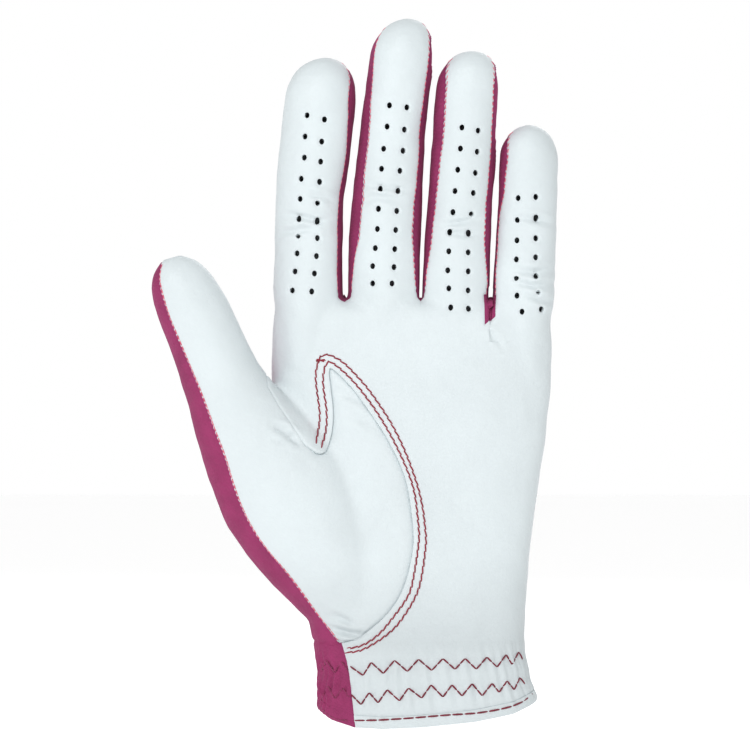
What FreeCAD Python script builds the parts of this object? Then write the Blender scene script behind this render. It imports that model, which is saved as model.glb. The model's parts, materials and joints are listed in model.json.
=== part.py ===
import FreeCAD, Part
import functools
import math
import os

# Left-hand golf glove, filled out as on a hand. The palm side, the four finger fronts and the set-in thumb
# are thin leather. The strips between the fingers and the outer side of the thumb are stretch fabric.
# The wrist is gathered by two elastics and closed on the back by a hook-and-loop tab over a slit.
#
# Millimetres. X runs across the hand with the thumb at -X. The palm faces -Y. Z rises from the cuff to the
# fingertips. The origin is the middle of the cuff opening.

V = FreeCAD.Vector

# Leather and fabric
WALL = 0.8
BODY_GAP = 0.35
SEAM_DEPTH = 4.0
TIP_SEAM_DEPTH = 0.6
FAR = 250.0

# Hand: height, thumb-side edge, little-finger-side edge, half depth and middle Y of each section
HAND_ROWS = [
    (-9.0, -33.6, 32.6, 17.0, 0.5),
    (0.0, -33.0, 31.0, 16.4, 0.5),
    (9.5, -32.8, 28.6, 15.6, 0.5),
    (19.5, -34.0, 27.4, 15.0, 0.5),
    (30.0, -36.0, 27.8, 14.6, 0.5),
    (48.0, -39.0, 29.4, 14.0, 0.8),
    (70.0, -42.5, 32.0, 13.2, 1.0),
    (94.0, -45.8, 35.4, 12.0, 0.8),
    (110.0, -46.3, 36.6, 10.6, 0.2),
    (126.0, -46.6, 37.2, 9.6, 0.0),
]
HAND_SQUARENESS = 2.5
RING_POINTS = 24
WEB_Z = 117.2
WEB_SLOPE = -0.085
WEB_BELOW = 7.0

# Fingers: root X, tip (X, Z), sideways bow, half widths at root, middle and end, and the heights of the two
# bends over the web
FINGERS = {
    "index": (-35.5, (-30.6, 189.2), -1.2, (10.0, 10.0, 10.3), 9.2, 27.0),
    "middle": (-13.4, (-7.2, 200.8), -1.0, (10.1, 10.3, 9.8), 11.6, 32.0),
    "ring": (6.9, (11.7, 191.4), 0.4, (9.7, 9.7, 9.6), 13.1, 28.5),
    "little": (26.4, (28.6, 169.9), 0.6, (8.9, 8.8, 8.5), 8.0, 25.0),
}
FINGER_FLATNESS = 0.84
FINGER_SHARES = [0.0, 0.14, 0.3, 0.46, 0.62, 0.76]
DOME_DEGREES = [0, 20, 38, 54, 68, 80]
DOME_LENGTH = 1.25
ROOT_BEND_DEG = 75.0
KNUCKLE_BEND_DEG = 85.0
BEND_AXIS_DEPTH = 3.0
BEND_SPARE_DEG = 3.0

# Thumb stations from tip to wrist: middle X, middle Y, middle Z, half width, half depth
THUMB_ROWS = [
    (-73.9, -13.7, 130.2, 4.6, 3.9),
    (-73.0, -13.6, 127.6, 7.4, 6.2),
    (-70.8, -13.2, 120.6, 9.6, 7.9),
    (-65.5, -12.0, 109.3, 10.6, 8.9),
    (-60.3, -10.4, 96.9, 11.7, 9.8),
    (-53.1, -7.8, 81.8, 15.2, 11.2),
    (-42.0, -5.6, 63.8, 19.8, 12.4),
    (-30.6, -4.4, 45.5, 17.6, 12.6),
    (-21.5, -2.6, 30.5, 13.0, 10.2),
]
THUMB_KNUCKLE = (-63.2, -11.2, 104.6)
THUMB_BEND_DEG = 60.0
THUMB_ROLL_DEG = 25.0

# Seam lines as (X, Z)
PINK_LINE = [(-79.6, 140.0), (-79.0, 124.0), (-72.5, 107.9), (-65.3, 90.5), (-58.9, 73.1), (-53.7, 58.0),
             (-46.4, 46.4), (-36.3, 31.0), (-28.2, 20.5)]
THUMB_WEB_LINE = [(-46.6, 94.5), (-43.5, 89.0), (-39.7, 83.5), (-36.0, 77.6)]
THUMB_SEAM = [(-32.8, 75.7), (-31.3, 75.1), (-29.9, 76.3), (-28.4, 81.2), (-28.1, 86.7), (-28.6, 92.2),
              (-29.2, 99.6), (-22.9, 94.3), (-17.7, 87.3), (-12.2, 78.9), (-7.5, 68.7), (-5.8, 58.9),
              (-4.9, 49.9), (-6.1, 42.1), (-8.4, 35.1), (-12.2, 29.3), (-17.7, 24.2), (-23.4, 20.5)]
THUMB_BACK_LINE = [(-46.6, 94.5), (-40.0, 62.0), (-33.0, 38.0), (-29.0, 20.5)]
THUMB_PANEL_EDGE = [(-11.5, 140.0), (0.0, 30.0)]
WRIST_FOLD_Z = 20.5
PINK_EDGE_X = -23.4
SEAM_ROWS = {
    "inner": [(-31.6, 76.8), (-30.2, 81.2), (-29.9, 87.0), (-31.0, 95.7), (-30.2, 100.9), (-28.7, 101.5),
              (-23.2, 96.9), (-17.7, 90.2), (-12.8, 82.6), (-8.4, 74.2), (-4.9, 65.0), (-3.5, 54.5),
              (-3.5, 48.7), (-5.5, 36.8), (-7.5, 32.5), (-11.0, 27.8), (-14.8, 23.2), (-19.4, 20.0),
              (-23.8, 19.1)],
    "outer": [(-33.1, 78.0), (-32.2, 82.6), (-31.9, 87.0), (-33.1, 96.3), (-32.2, 101.8), (-30.7, 103.8),
              (-25.8, 101.8), (-21.8, 98.0), (-17.1, 92.5), (-11.0, 83.2), (-6.4, 73.4), (-2.9, 62.6),
              (-1.4, 52.8), (-1.4, 47.6), (-3.5, 36.0), (-8.1, 27.8), (-11.3, 24.1), (-15.1, 21.2),
              (-19.7, 18.6), (-23.8, 17.7)],
}
THREAD_WIDTH = 0.5
THREAD_RISE = 0.3

# Cuff
CUFF_EDGE = [(-60.0, 1.0), (-33.0, 1.0), (-29.0, -1.6), (-22.0, -3.6), (-14.0, -4.0), (-2.0, -3.4), (13.0, -1.9),
             (24.0, 0.2), (29.0, 2.4), (32.0, 4.0), (60.0, 4.0)]
HEM_HEIGHT = 3.4
HEM_STITCH_HEIGHT = 2.4
ZIGZAG_ROWS = {"lower": (6.7, 0.107), "upper": (14.5, 0.077)}
ZIGZAG_STEP = 3.25
ZIGZAG_HEIGHT = 3.6
ZIGZAG_ENDS = (-22.5, 26.5)
ELASTIC_HEIGHT = 4.6
ELASTIC_THICKNESS = 0.9

# Closure on the back, with layer heights measured from the back leather's face
SLIT_LEFT_X = -6.0
SLIT_RIGHT_X = -1.0
SLIT_TOP_Z = 44.0
BINDING_WIDTH = 2.2
TAB_HINGE_X = -9.0
TAB_END_X = 20.0
ANCHOR_LEFT_X = -19.0
TAB_LOW_Z = 6.0
TAB_HIGH_Z = 30.0
TAB_CORNER = 9.0
TAB_MARGIN = 2.4
LOOP_LAYER = (0.0, 0.9)
HOOK_LAYER = (1.3, 2.0)
LINING_LAYER = (2.0, 2.4)
TAB_LAYER = (2.4, 3.2)
LOOP_LEFT_X = 3.0
HOOK_LEFT_X = 4.5


# ------------------------------------------------------------------ drawing helpers
def closed_curve(points):
    curve = Part.BSplineCurve()
    curve.interpolate(Points=points, PeriodicFlag=True)
    return Part.Wire(curve.toShape())


def extruded(corners, along):
    """A solid from a flat polygon and the vector that it is pushed along."""
    return Part.Face(Part.makePolygon(corners + corners[:1])).extrude(along)


def prism(points, low_y=-FAR, high_y=FAR):
    """A solid that has the given outline in XZ and reaches from low_y to high_y."""
    return extruded([V(x, low_y, z) for x, z in points], V(0, high_y - low_y, 0))


def slab(low, high):
    return Part.makeBox(high[0] - low[0], high[1] - low[1], high[2] - low[2], V(*low))


def largest(shape):
    """The biggest solid of a shape, without the slivers a cut can leave."""
    return max(shape.Solids, key=lambda s: s.Volume)


def save(name, shape):
    largest(shape).exportStep("parts/" + name + ".step")


def beside(points, distance):
    """A line drawn alongside another, to its right going from first point to last."""
    moved = []
    for k, (x, z) in enumerate(points):
        ax, az = points[max(k - 1, 0)]
        bx, bz = points[min(k + 1, len(points) - 1)]
        length = math.hypot(bx - ax, bz - az)
        moved.append((x + (bz - az) / length * distance, z - (bx - ax) / length * distance))
    return moved


def band(points, width):
    """The outline of a narrow band that is centred on a line."""
    return beside(points, width / 2) + beside(points, -width / 2)[::-1]


# ------------------------------------------------------------------ the hand's form
def web_height(x):
    return WEB_Z + WEB_SLOPE * (x - FINGERS["middle"][0])


def over_cuff(above, low_y=-FAR, high_y=FAR):
    """Everything that is higher than the cuff's edge by the given amount."""
    edge = [(x, z + above) for x, z in CUFF_EDGE]
    return prism(edge + [(edge[-1][0], FAR), (edge[0][0], FAR)], low_y, high_y)


def hand_section(row, grow):
    z, left, right, depth, middle_y = row
    middle_x = (left + right) / 2
    half = (right - left) / 2 + grow
    power = 2 / HAND_SQUARENESS
    points = []
    for k in range(RING_POINTS):
        turn = 2 * math.pi * k / RING_POINTS
        across, through = math.cos(turn), math.sin(turn)
        points.append(V(middle_x + half * math.copysign(abs(across) ** power, across),
                        middle_y + (depth + grow) * math.copysign(abs(through) ** power, through), z))
    return closed_curve(points)


@functools.cache
def hand_form(grow):
    """The palm and back from below the cuff to the finger webs, grown outwards by a distance."""
    form = Part.makeLoft([hand_section(row, grow) for row in HAND_ROWS], True, False)
    over_web = [(-FAR, web_height(-FAR) + grow), (-FAR, FAR), (FAR, FAR), (FAR, web_height(FAR) + grow)]
    return form.cut(prism(over_web))


def digit_form(stations):
    """A finger or thumb through stations of middle, half width, half depth and direction."""
    rings = []
    for middle, half, depth, along in stations:
        side = V(0, 1, 0).cross(along).normalize()
        out = along.cross(side).normalize()
        turns = [2 * math.pi * k / RING_POINTS for k in range(RING_POINTS)]
        rings.append(closed_curve([middle + side * (half * math.cos(t)) + out * (depth * math.sin(t))
                                   for t in turns]))
    return Part.makeLoft(rings, True, False)


def finger_line(name):
    """The root, direction and length of a finger's middle line."""
    root_x, (tip_x, tip_z) = FINGERS[name][:2]
    root = V(root_x, 0, web_height(root_x) - WEB_BELOW)
    reach = V(tip_x, 0, tip_z) - root
    length = reach.Length
    return root, reach.normalize(), length


def through(values, share):
    """A smooth run through three values, at 0, a half and 1."""
    first, middle, last = values
    return (first * (1 - share) * (1 - 2 * share) + middle * 4 * share * (1 - share)
            + last * share * (2 * share - 1))


@functools.cache
def finger_form(name, grow):
    root, along, length = finger_line(name)
    bow, halves = FINGERS[name][2:4]
    side = V(0, 1, 0).cross(along)
    dome = halves[2] * DOME_LENGTH
    spots = [(length - dome) * share / FINGER_SHARES[-1] * 0.9 for share in FINGER_SHARES]
    rises = [0.0] * len(spots)
    for degrees in DOME_DEGREES:
        spots.append(length - dome + (dome + grow) * math.sin(math.radians(degrees)))
        rises.append(math.radians(degrees))
    stations = []
    for spot, rise in zip(spots, rises):
        share = min(spot / length, 1.0)
        half = (through(halves, share) + grow) * math.cos(rise)
        depth = (through(halves, share) * FINGER_FLATNESS + grow) * math.cos(rise)
        middle = root + along * spot + side * (bow * 4 * share * (1 - share))
        stations.append((middle, half, depth, along))
    return digit_form(stations)


@functools.cache
def thumb_form(grow):
    middles = [V(x, y, z) for x, y, z, _, _ in THUMB_ROWS]
    stations = []
    for k, (_, _, _, half, depth) in enumerate(THUMB_ROWS):
        along = (middles[max(k - 1, 0)] - middles[min(k + 1, len(middles) - 1)]).normalize()
        lift = grow if k == 0 else 0.0
        stations.append((middles[k] + along * lift, half + grow, depth + grow, along))
    return digit_form(stations[::-1])


# ------------------------------------------------------------------ the bends
def finger_bend(name, which):
    """A bend's axis point, axis, direction along the finger and direction out of its back, and its range."""
    root, along, length = finger_line(name)
    bow = FINGERS[name][2]
    height = WEB_BELOW + FINGERS[name][4 if which == "root" else 5]
    share = height / length
    side = V(0, 1, 0).cross(along).normalize()
    out = along.cross(side).normalize()
    at = root + along * height + side * (bow * 4 * share * (1 - share)) - out * BEND_AXIS_DEPTH
    return at, side, along, out, ROOT_BEND_DEG if which == "root" else KNUCKLE_BEND_DEG


def thumb_bend():
    along = (V(*THUMB_ROWS[2][:3]) - V(*THUMB_ROWS[4][:3])).normalize()
    level = V(0, 1, 0).cross(along).normalize()
    back = along.cross(level).normalize()
    roll = math.radians(THUMB_ROLL_DEG)
    side = level * math.cos(roll) + back * math.sin(roll)
    out = along.cross(side).normalize()
    return V(*THUMB_KNUCKLE) - out * BEND_AXIS_DEPTH, side, along, out, THUMB_BEND_DEG


def bend_space(bend, sign):
    """Everything on one side of a bend. It is cut back on the palm side so that the two sides can fold
    together: sign 1 is the fingertip's side, and -1 the wrist's."""
    at, side, along, out, degrees = bend
    reach, width = 40.0, 60.0
    edge = BODY_GAP / 2
    spread = edge + reach * math.tan(math.radians(degrees / 2 + BEND_SPARE_DEG))
    outline = [(edge, 0.0), (spread, -reach), (FAR, -reach), (FAR, reach), (edge, reach)]
    corners = [at + along * (sign * s) + out * o - side * width for s, o in outline]
    return extruded(corners, side * (2 * width))


# ------------------------------------------------------------------ panels of a finger
def seam_slab(name, low, high):
    """The zone of a finger between two depths, drawn in to a narrow strip at the tip."""
    root, along, length = finger_line(name)
    side = V(0, 1, 0).cross(along).normalize()
    out = along.cross(side).normalize()
    dome = FINGERS[name][3][2] * DOME_LENGTH
    shrink = TIP_SEAM_DEPTH / SEAM_DEPTH
    outline = [(-40.0, low), (length - dome, low), (length + 1.0, low * shrink), (length + 20.0, low * shrink),
               (length + 20.0, high * shrink), (length + 1.0, high * shrink), (length - dome, high), (-40.0, high)]
    corners = [root + along * s + out * o - side * 60.0 for s, o in outline]
    return extruded(corners, side * 120.0)


def finger_sides(name):
    """The sides of a finger that carry a stretch strip: -1 towards the thumb, 1 away from it."""
    return {"index": [1], "middle": [-1, 1], "ring": [-1, 1], "little": [-1]}[name]


def finger_zones(name):
    """The stretch strips' zones of a finger and the zone of the palm-side leather."""
    root, along, length = finger_line(name)
    side = V(0, 1, 0).cross(along).normalize()
    out = along.cross(side).normalize()
    strips = {}
    middle_slab = seam_slab(name, -SEAM_DEPTH, SEAM_DEPTH)
    for sign in finger_sides(name):
        half = [root + side * (sign * o) + along * s - out * 60.0 for s, o in
                [(-60.0, 0.0), (-60.0, 40.0), (FAR, 40.0), (FAR, 0.0)]]
        strips[sign] = middle_slab.common(extruded(half, out * 120.0))
    front_face = [root + along * s + out * SEAM_DEPTH * d - side * 60.0 for s, d in
                  [(-60.0, 0.0), (FAR, 0.0), (FAR, -12.0), (-60.0, -12.0)]]
    return strips, extruded(front_face, side * 120.0), middle_slab


def finger_panels(name, shell, segment):
    """The leather front, leather back and stretch strips of one part of a finger."""
    strips, front_zone, middle_slab = finger_zones(name)
    words = {-1: "thumb_side", 1: "outer_side"}
    rest = shell
    panels = {}
    for sign, zone in strips.items():
        panels[name + "_strip_" + words[sign] + "_" + segment] = rest.common(zone)
    for zone in strips.values():
        rest = rest.cut(zone)
    if len(strips) == 1:
        front_zone = front_zone.fuse(middle_slab)
    panels[name + "_front_" + segment] = rest.common(front_zone)
    panels[name + "_back_" + segment] = rest.cut(front_zone)
    return panels


# ------------------------------------------------------------------ panels of the hand
def hand_shell():
    """The leather wall of the palm, back, finger roots and thumb, up to the bends."""
    outside = hand_form(0.0)
    inside = hand_form(-WALL)
    for name in FINGERS:
        outside = outside.fuse(finger_form(name, 0.0).common(bend_space(finger_bend(name, "root"), -1)))
        inside = inside.fuse(finger_form(name, -WALL))
    outside = outside.fuse(thumb_form(0.0).common(bend_space(thumb_bend(), -1)))
    inside = inside.fuse(thumb_form(-WALL))
    return outside.cut(inside).common(over_cuff(0.0))


def thumb_zones():
    """The zones of the thumb's leather, on the palm side, and of its stretch side."""
    (top_y, top_z), (low_y, low_z) = THUMB_PANEL_EDGE
    behind = [V(-FAR, y, z) for y, z in [(top_y, top_z), (low_y, low_z), (low_y, -FAR), (FAR, -FAR), (FAR, FAR),
                                         (top_y, FAR)]]
    behind = extruded(behind, V(2 * FAR, 0, 0))
    leather = prism(PINK_LINE + THUMB_SEAM[::-1] + THUMB_WEB_LINE[::-1] + [(-46.6, 140.0)]).cut(behind)
    left = prism(PINK_LINE + [(-FAR, WRIST_FOLD_Z), (-FAR, 140.0)])
    back = prism([(-46.6, 140.0)] + THUMB_BACK_LINE + [(-FAR, WRIST_FOLD_Z), (-FAR, 140.0)]).common(behind)
    return leather, left.fuse(back)


def slit_outline(margin):
    left, right, top = SLIT_LEFT_X - margin, SLIT_RIGHT_X + margin, SLIT_TOP_Z + margin
    corner = (right - left) * 0.3
    return [(left, -FAR), (left, top - corner), (left + corner, top), (right - corner, top),
            (right, top - corner), (right, -FAR)]


def finger_gap_zone(left, right):
    """Where the stretch strips run over the web between two fingers, from one middle line to the other."""
    corners = []
    for name in (left, right):
        root, along, _ = finger_line(name)
        low, high = root - along * 10.0, root + along * 60.0
        corners.append([(low.x, low.z), (high.x, high.z)])
    return prism(corners[0] + corners[1][::-1], -SEAM_DEPTH, SEAM_DEPTH)


def hand_panels():
    rest = hand_shell().cut(prism(slit_outline(BINDING_WIDTH), 0.0))
    rest = rest.common(over_cuff(HEM_HEIGHT))
    leather_zone, side_zone = thumb_zones()
    panels = {}
    zones = [("thumb_leather", leather_zone), ("thumb_side_fabric", side_zone),
             ("cuff_side_fabric", prism([(-FAR, WRIST_FOLD_Z), (PINK_EDGE_X, WRIST_FOLD_Z), (PINK_EDGE_X, -FAR),
                                         (-FAR, -FAR)]))]
    names = list(FINGERS)
    for left, right in zip(names, names[1:]):
        zones.append(("web_" + left + "_" + right, finger_gap_zone(left, right)))
    zones.append(("palm_leather", slab((-FAR, -FAR, -FAR), (FAR, SEAM_DEPTH, FAR))))
    for name, zone in zones:
        panels[name] = rest.common(zone)
        rest = rest.cut(zone)
    panels["back_leather"] = rest
    return panels


def thumb_tip_panels():
    shell = thumb_form(0.0).cut(thumb_form(-WALL)).common(bend_space(thumb_bend(), 1))
    leather_zone, _ = thumb_zones()
    return {"thumb_leather_tip": shell.common(leather_zone), "thumb_side_fabric_tip": shell.cut(leather_zone)}


# ------------------------------------------------------------------ cuff
def hand_layer(low, high):
    """A layer that follows the hand's form between two distances from its face."""
    return hand_form(high).cut(hand_form(low))


def hems():
    """The folded edge of the cuff: stretch fabric on the thumb side, leather round the rest."""
    ring = hand_layer(-2 * WALL, 0.0).common(over_cuff(0.0)).cut(over_cuff(HEM_HEIGHT))
    ring = ring.cut(prism(slit_outline(BINDING_WIDTH), 0.0))
    side = slab((-FAR, -FAR, -FAR), (PINK_EDGE_X, FAR, FAR))
    back = slab((-FAR, 0.0, -FAR), (SLIT_LEFT_X, FAR, FAR))
    leather = ring.cut(side)
    return {"hem_side": ring.common(side), "hem_back": leather.common(back), "hem_leather": leather.cut(back)}


def slit_binding():
    """A strip folded over both edges and the top of the opening on the back."""
    strip = prism(slit_outline(BINDING_WIDTH), 0.0).cut(prism(slit_outline(0.0), 0.0))
    return hand_layer(-2 * WALL, WALL / 2).common(strip).common(over_cuff(0.0))


def row_height(row, x):
    middle, slope = ZIGZAG_ROWS[row]
    return middle + slope * x


def elastic(row):
    """A band on the inside of the palm leather that gathers the wrist."""
    left, right = ZIGZAG_ENDS
    half = ELASTIC_HEIGHT / 2
    low = [(x, row_height(row, x) - half) for x in (left, right)]
    high = [(x, row_height(row, x) + half) for x in (right, left)]
    return hand_layer(-WALL - ELASTIC_THICKNESS, -WALL).common(prism(low + high, -FAR, 0.0))


# ------------------------------------------------------------------ threads
def zigzag_thread(row):
    left, right = ZIGZAG_ENDS
    points = []
    x, sign = left, -1
    while x <= right:
        points.append((x, row_height(row, x) + sign * ZIGZAG_HEIGHT / 2))
        x, sign = x + ZIGZAG_STEP, -sign
    return hand_layer(0.0, THREAD_RISE).common(prism(band(points, THREAD_WIDTH), -FAR, 0.0))


def hem_thread():
    points = [(x, z + HEM_STITCH_HEIGHT) for x, z in CUFF_EDGE[2:-2]]
    return hand_layer(0.0, THREAD_RISE).common(prism(band(points, THREAD_WIDTH), -FAR, 0.0))


def seam_thread(row):
    """One of the two rows that hold the palm leather down on the thumb."""
    strip = prism(band(SEAM_ROWS[row], THREAD_WIDTH), -FAR, -2.0)
    over = hand_form(THREAD_RISE).common(strip).fuse(thumb_form(THREAD_RISE).common(strip))
    return over.cut(hand_form(0.0)).cut(thumb_form(0.0))


# ------------------------------------------------------------------ closure
def tab_outline(left, margin):
    """The tab's outline with rounded free corners, drawn in by a margin."""
    right, low, high = TAB_END_X - margin, TAB_LOW_Z + margin, TAB_HIGH_Z - margin
    corner = TAB_CORNER - margin
    outline = [(left, low)]
    for middle_z, start in ((low + corner, -90), (high - corner, 0)):
        for step in range(7):
            turn = math.radians(start + 15 * step)
            outline.append((right - corner + corner * math.cos(turn), middle_z + corner * math.sin(turn)))
    return outline + [(left, high)]


def closure():
    """The tab with its lining and hooks, the loops that it holds on, and its sewn end."""
    def patch(layer, left, margin):
        return hand_layer(*layer).common(prism(tab_outline(left, margin), 0.0))

    anchor = [(ANCHOR_LEFT_X, TAB_LOW_Z), (TAB_HINGE_X, TAB_LOW_Z), (TAB_HINGE_X, TAB_HIGH_Z),
              (ANCHOR_LEFT_X, TAB_HIGH_Z)]
    tab_left = TAB_HINGE_X + BODY_GAP
    rim = prism(tab_outline(tab_left, TAB_MARGIN)).cut(prism(tab_outline(-FAR, TAB_MARGIN + THREAD_WIDTH)))
    thread = hand_layer(TAB_LAYER[1], TAB_LAYER[1] + THREAD_RISE)
    return {
        "closure_anchor": hand_layer(0.0, TAB_LAYER[1]).common(prism(anchor, 0.0)),
        "closure_tab": patch(TAB_LAYER, tab_left, 0.0),
        "closure_lining": patch(LINING_LAYER, tab_left, TAB_MARGIN / 2),
        "closure_hooks": patch(HOOK_LAYER, HOOK_LEFT_X, TAB_MARGIN),
        "closure_loops": patch(LOOP_LAYER, LOOP_LEFT_X, TAB_MARGIN / 2),
        "closure_thread": thread.common(rim).common(slab((tab_left, 0.0, 0.0), (FAR, FAR, FAR))),
    }


# ------------------------------------------------------------------ the glove
os.makedirs("parts", exist_ok=True)

for name in FINGERS:
    wall = finger_form(name, 0.0).cut(finger_form(name, -WALL))
    root_bend, knuckle_bend = finger_bend(name, "root"), finger_bend(name, "knuckle")
    lower = wall.common(bend_space(root_bend, 1)).common(bend_space(knuckle_bend, -1))
    upper = wall.common(bend_space(knuckle_bend, 1))
    for part, shape in {**finger_panels(name, lower, "lower"), **finger_panels(name, upper, "upper")}.items():
        save(part, shape)

for panels in (hand_panels(), thumb_tip_panels(), hems(), closure()):
    for part, shape in panels.items():
        save(part, shape)

save("slit_binding", slit_binding())
for row in ZIGZAG_ROWS:
    save("elastic_" + row, elastic(row))
    save("thread_zigzag_" + row, zigzag_thread(row))
for row in SEAM_ROWS:
    save("thread_thumb_" + row, seam_thread(row))
save("thread_hem", hem_thread())
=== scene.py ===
import bmesh
import bpy
import json
import math
import numpy as np
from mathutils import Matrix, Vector, noise
from mathutils.bvhtree import BVHTree
from mathutils.kdtree import KDTree


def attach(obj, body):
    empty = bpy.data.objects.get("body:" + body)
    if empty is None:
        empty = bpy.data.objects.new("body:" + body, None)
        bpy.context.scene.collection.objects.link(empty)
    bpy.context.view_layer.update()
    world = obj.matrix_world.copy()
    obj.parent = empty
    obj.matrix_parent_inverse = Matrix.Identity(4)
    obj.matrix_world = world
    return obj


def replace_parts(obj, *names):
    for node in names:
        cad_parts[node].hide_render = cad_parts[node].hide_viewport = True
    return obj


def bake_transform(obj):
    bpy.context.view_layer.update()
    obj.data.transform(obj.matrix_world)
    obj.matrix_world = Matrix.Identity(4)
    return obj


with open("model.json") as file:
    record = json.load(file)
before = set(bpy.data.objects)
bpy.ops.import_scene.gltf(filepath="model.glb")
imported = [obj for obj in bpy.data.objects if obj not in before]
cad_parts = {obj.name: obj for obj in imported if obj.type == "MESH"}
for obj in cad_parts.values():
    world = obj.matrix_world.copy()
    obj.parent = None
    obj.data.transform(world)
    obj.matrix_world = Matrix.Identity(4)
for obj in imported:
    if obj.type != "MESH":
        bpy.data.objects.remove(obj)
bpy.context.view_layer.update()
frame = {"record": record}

MM = 0.001


# ---- Form of the filled glove ----------------------------------------------------------------------------
# The leather and fabric are sewn flat and take their shape from the hand. This closed form stands for that
# shape: a palm, four fingers and a thumb, run together and softened. The pieces below are cut from it, and it
# is removed at the end.
FORM_CELL = 0.7

# height, thumb-side edge, little-finger-side edge, half depth, middle Y
palm_rows = [
    (-14.0, -33.4, 33.4, 16.4, 0.5), (-4.0, -33.2, 32.6, 16.0, 0.5), (2.0, -33.0, 31.6, 15.6, 0.5),
    (9.3, -32.9, 29.3, 15.0, 0.5), (16.0, -33.6, 27.9, 14.5, 0.5), (23.0, -34.9, 27.4, 14.3, 0.5),
    (30.0, -36.0, 27.8, 14.3, 0.5), (42.0, -38.0, 28.4, 14.1, 0.7), (56.0, -40.2, 30.2, 13.6, 0.9),
    (70.0, -42.5, 32.0, 13.2, 1.0), (84.0, -44.6, 34.0, 12.7, 1.0), (97.0, -46.0, 35.0, 11.7, 0.7),
    (108.0, -46.0, 35.4, 10.4, 0.2), (114.0, -45.7, 35.2, 9.4, 0.0), (118.0, -44.2, 33.2, 7.6, 0.0),
    (119.4, -40.0, 30.0, 4.0, 0.0)]
# height, middle X, half width; the last row is the tip
finger_rows = {
    "index": [(100, -35.7, 9.7), (112, -35.6, 10.3), (120, -35.4, 10.3), (134, -35.1, 10.0), (148, -34.7, 10.1),
              (160, -33.5, 10.6), (176.5, -31.8, 10.6), (189.6, -30.5, 0)],
    "middle": [(100, -13.6, 9.7), (112, -13.6, 10.4), (121, -13.5, 10.6), (134.6, -13.3, 10.7),
               (148.5, -12.5, 10.6), (162.4, -11.4, 10.1), (176, -10.0, 9.8), (188.5, -8.3, 9.8),
               (201.0, -7.0, 0)],
    "ring": [(100, 6.6, 9.3), (112, 7.0, 9.9), (120.6, 7.3, 9.9), (134.6, 7.8, 9.8), (148.5, 8.7, 9.7),
             (162.4, 9.8, 9.9), (179.3, 10.9, 9.8), (191.7, 11.9, 0)],
    "little": [(96, 26.2, 8.6), (108, 26.4, 9.1), (116, 26.8, 9.1), (127.6, 27.3, 8.9), (141.5, 27.9, 8.7),
               (159.0, 28.4, 8.7), (170.2, 28.4, 0)],
}
# middle X, Y, Z, half width, half depth
thumb_rows = [
    (-21.5, -1.8, 30.5, 13.0, 10.6), (-30.6, -3.6, 45.5, 17.4, 12.4), (-42.0, -5.2, 63.8, 19.6, 12.6),
    (-53.1, -7.6, 81.8, 15.2, 11.4), (-60.3, -10.2, 96.9, 11.7, 10.0), (-65.5, -12.0, 109.3, 10.6, 9.1),
    (-69.6, -13.0, 118.6, 10.2, 8.4), (-72.2, -13.5, 124.4, 8.9, 7.2), (-73.8, -13.8, 128.6, 6.6, 5.2),
    (-74.7, -14.0, 131.3, 3.0, 2.4)]
web_points = [(-24.8, 119.6), (-2.7, 120.8), (17.4, 113.2)]
FINGER_FLATNESS = 0.86
FINGERS_APART = 0.75


def through_rows(rows, steps):
    """Rows filled in with a smooth curve through them."""
    rows = np.array(rows, float)
    filled = []
    for k in range(len(rows) - 1):
        before, start, end, after = rows[max(k - 1, 0)], rows[k], rows[k + 1], rows[min(k + 2, len(rows) - 1)]
        for step in range(steps):
            t = step / steps
            filled.append(0.5 * (2 * start + (end - before) * t + (2 * before - 5 * start + 4 * end - after) * t ** 2
                                 + (3 * start - before - 3 * end + after) * t ** 3))
    return np.array(filled + [rows[-1]])


def closed_tube(name, rings):
    """A closed mesh through rings of points, in millimetres."""
    count = len(rings[0])
    faces = [(r * count + k, r * count + (k + 1) % count, (r + 1) * count + (k + 1) % count, (r + 1) * count + k)
             for r in range(len(rings) - 1) for k in range(count)]
    faces += [tuple(range(count)), tuple(range((len(rings) - 1) * count, len(rings) * count))]
    mesh = bpy.data.meshes.new(name)
    mesh.from_pydata([tuple(p * MM) for ring in rings for p in ring], [], faces)
    edit = bmesh.new()
    edit.from_mesh(mesh)
    bmesh.ops.recalc_face_normals(edit, faces=edit.faces)
    edit.to_mesh(mesh)
    edit.free()
    tube = bpy.data.objects.new(name, mesh)
    bpy.context.collection.objects.link(tube)
    return tube


def palm_rings():
    rings = []
    for z, left, right, depth, middle_y in through_rows(palm_rows, 3):
        turns = np.linspace(0, 2 * math.pi, 96, endpoint=False)
        across, through = np.cos(turns), np.sin(turns)
        x = (left + right) / 2 + (right - left) / 2 * np.sign(across) * np.abs(across) ** 0.8
        y = middle_y + depth * np.sign(through) * np.abs(through) ** 0.8
        rings.append(np.column_stack([x, y, np.full_like(x, z)]))
    return rings


def finger_rings(rows):
    levels = [tuple(row) for row in through_rows(rows[:-1], 6)]
    (base_z, base_x, base_half), (tip_z, tip_x, _) = levels[-1], rows[-1]
    for degrees in (12, 24, 36, 47, 57, 66, 74, 81, 86):
        rise = math.sin(math.radians(degrees))
        levels.append((base_z + (tip_z - base_z) * rise, base_x + (tip_x - base_x) * rise,
                       base_half * (1 - rise ** 2.3) ** (1 / 2.3)))
    turns = np.linspace(0, 2 * math.pi, 48, endpoint=False)
    return [np.column_stack([x + max(half - FINGERS_APART, 0.2) * np.cos(turns),
                             FINGER_FLATNESS * half * np.sin(turns), np.full_like(turns, z)])
            for z, x, half in levels]


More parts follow.
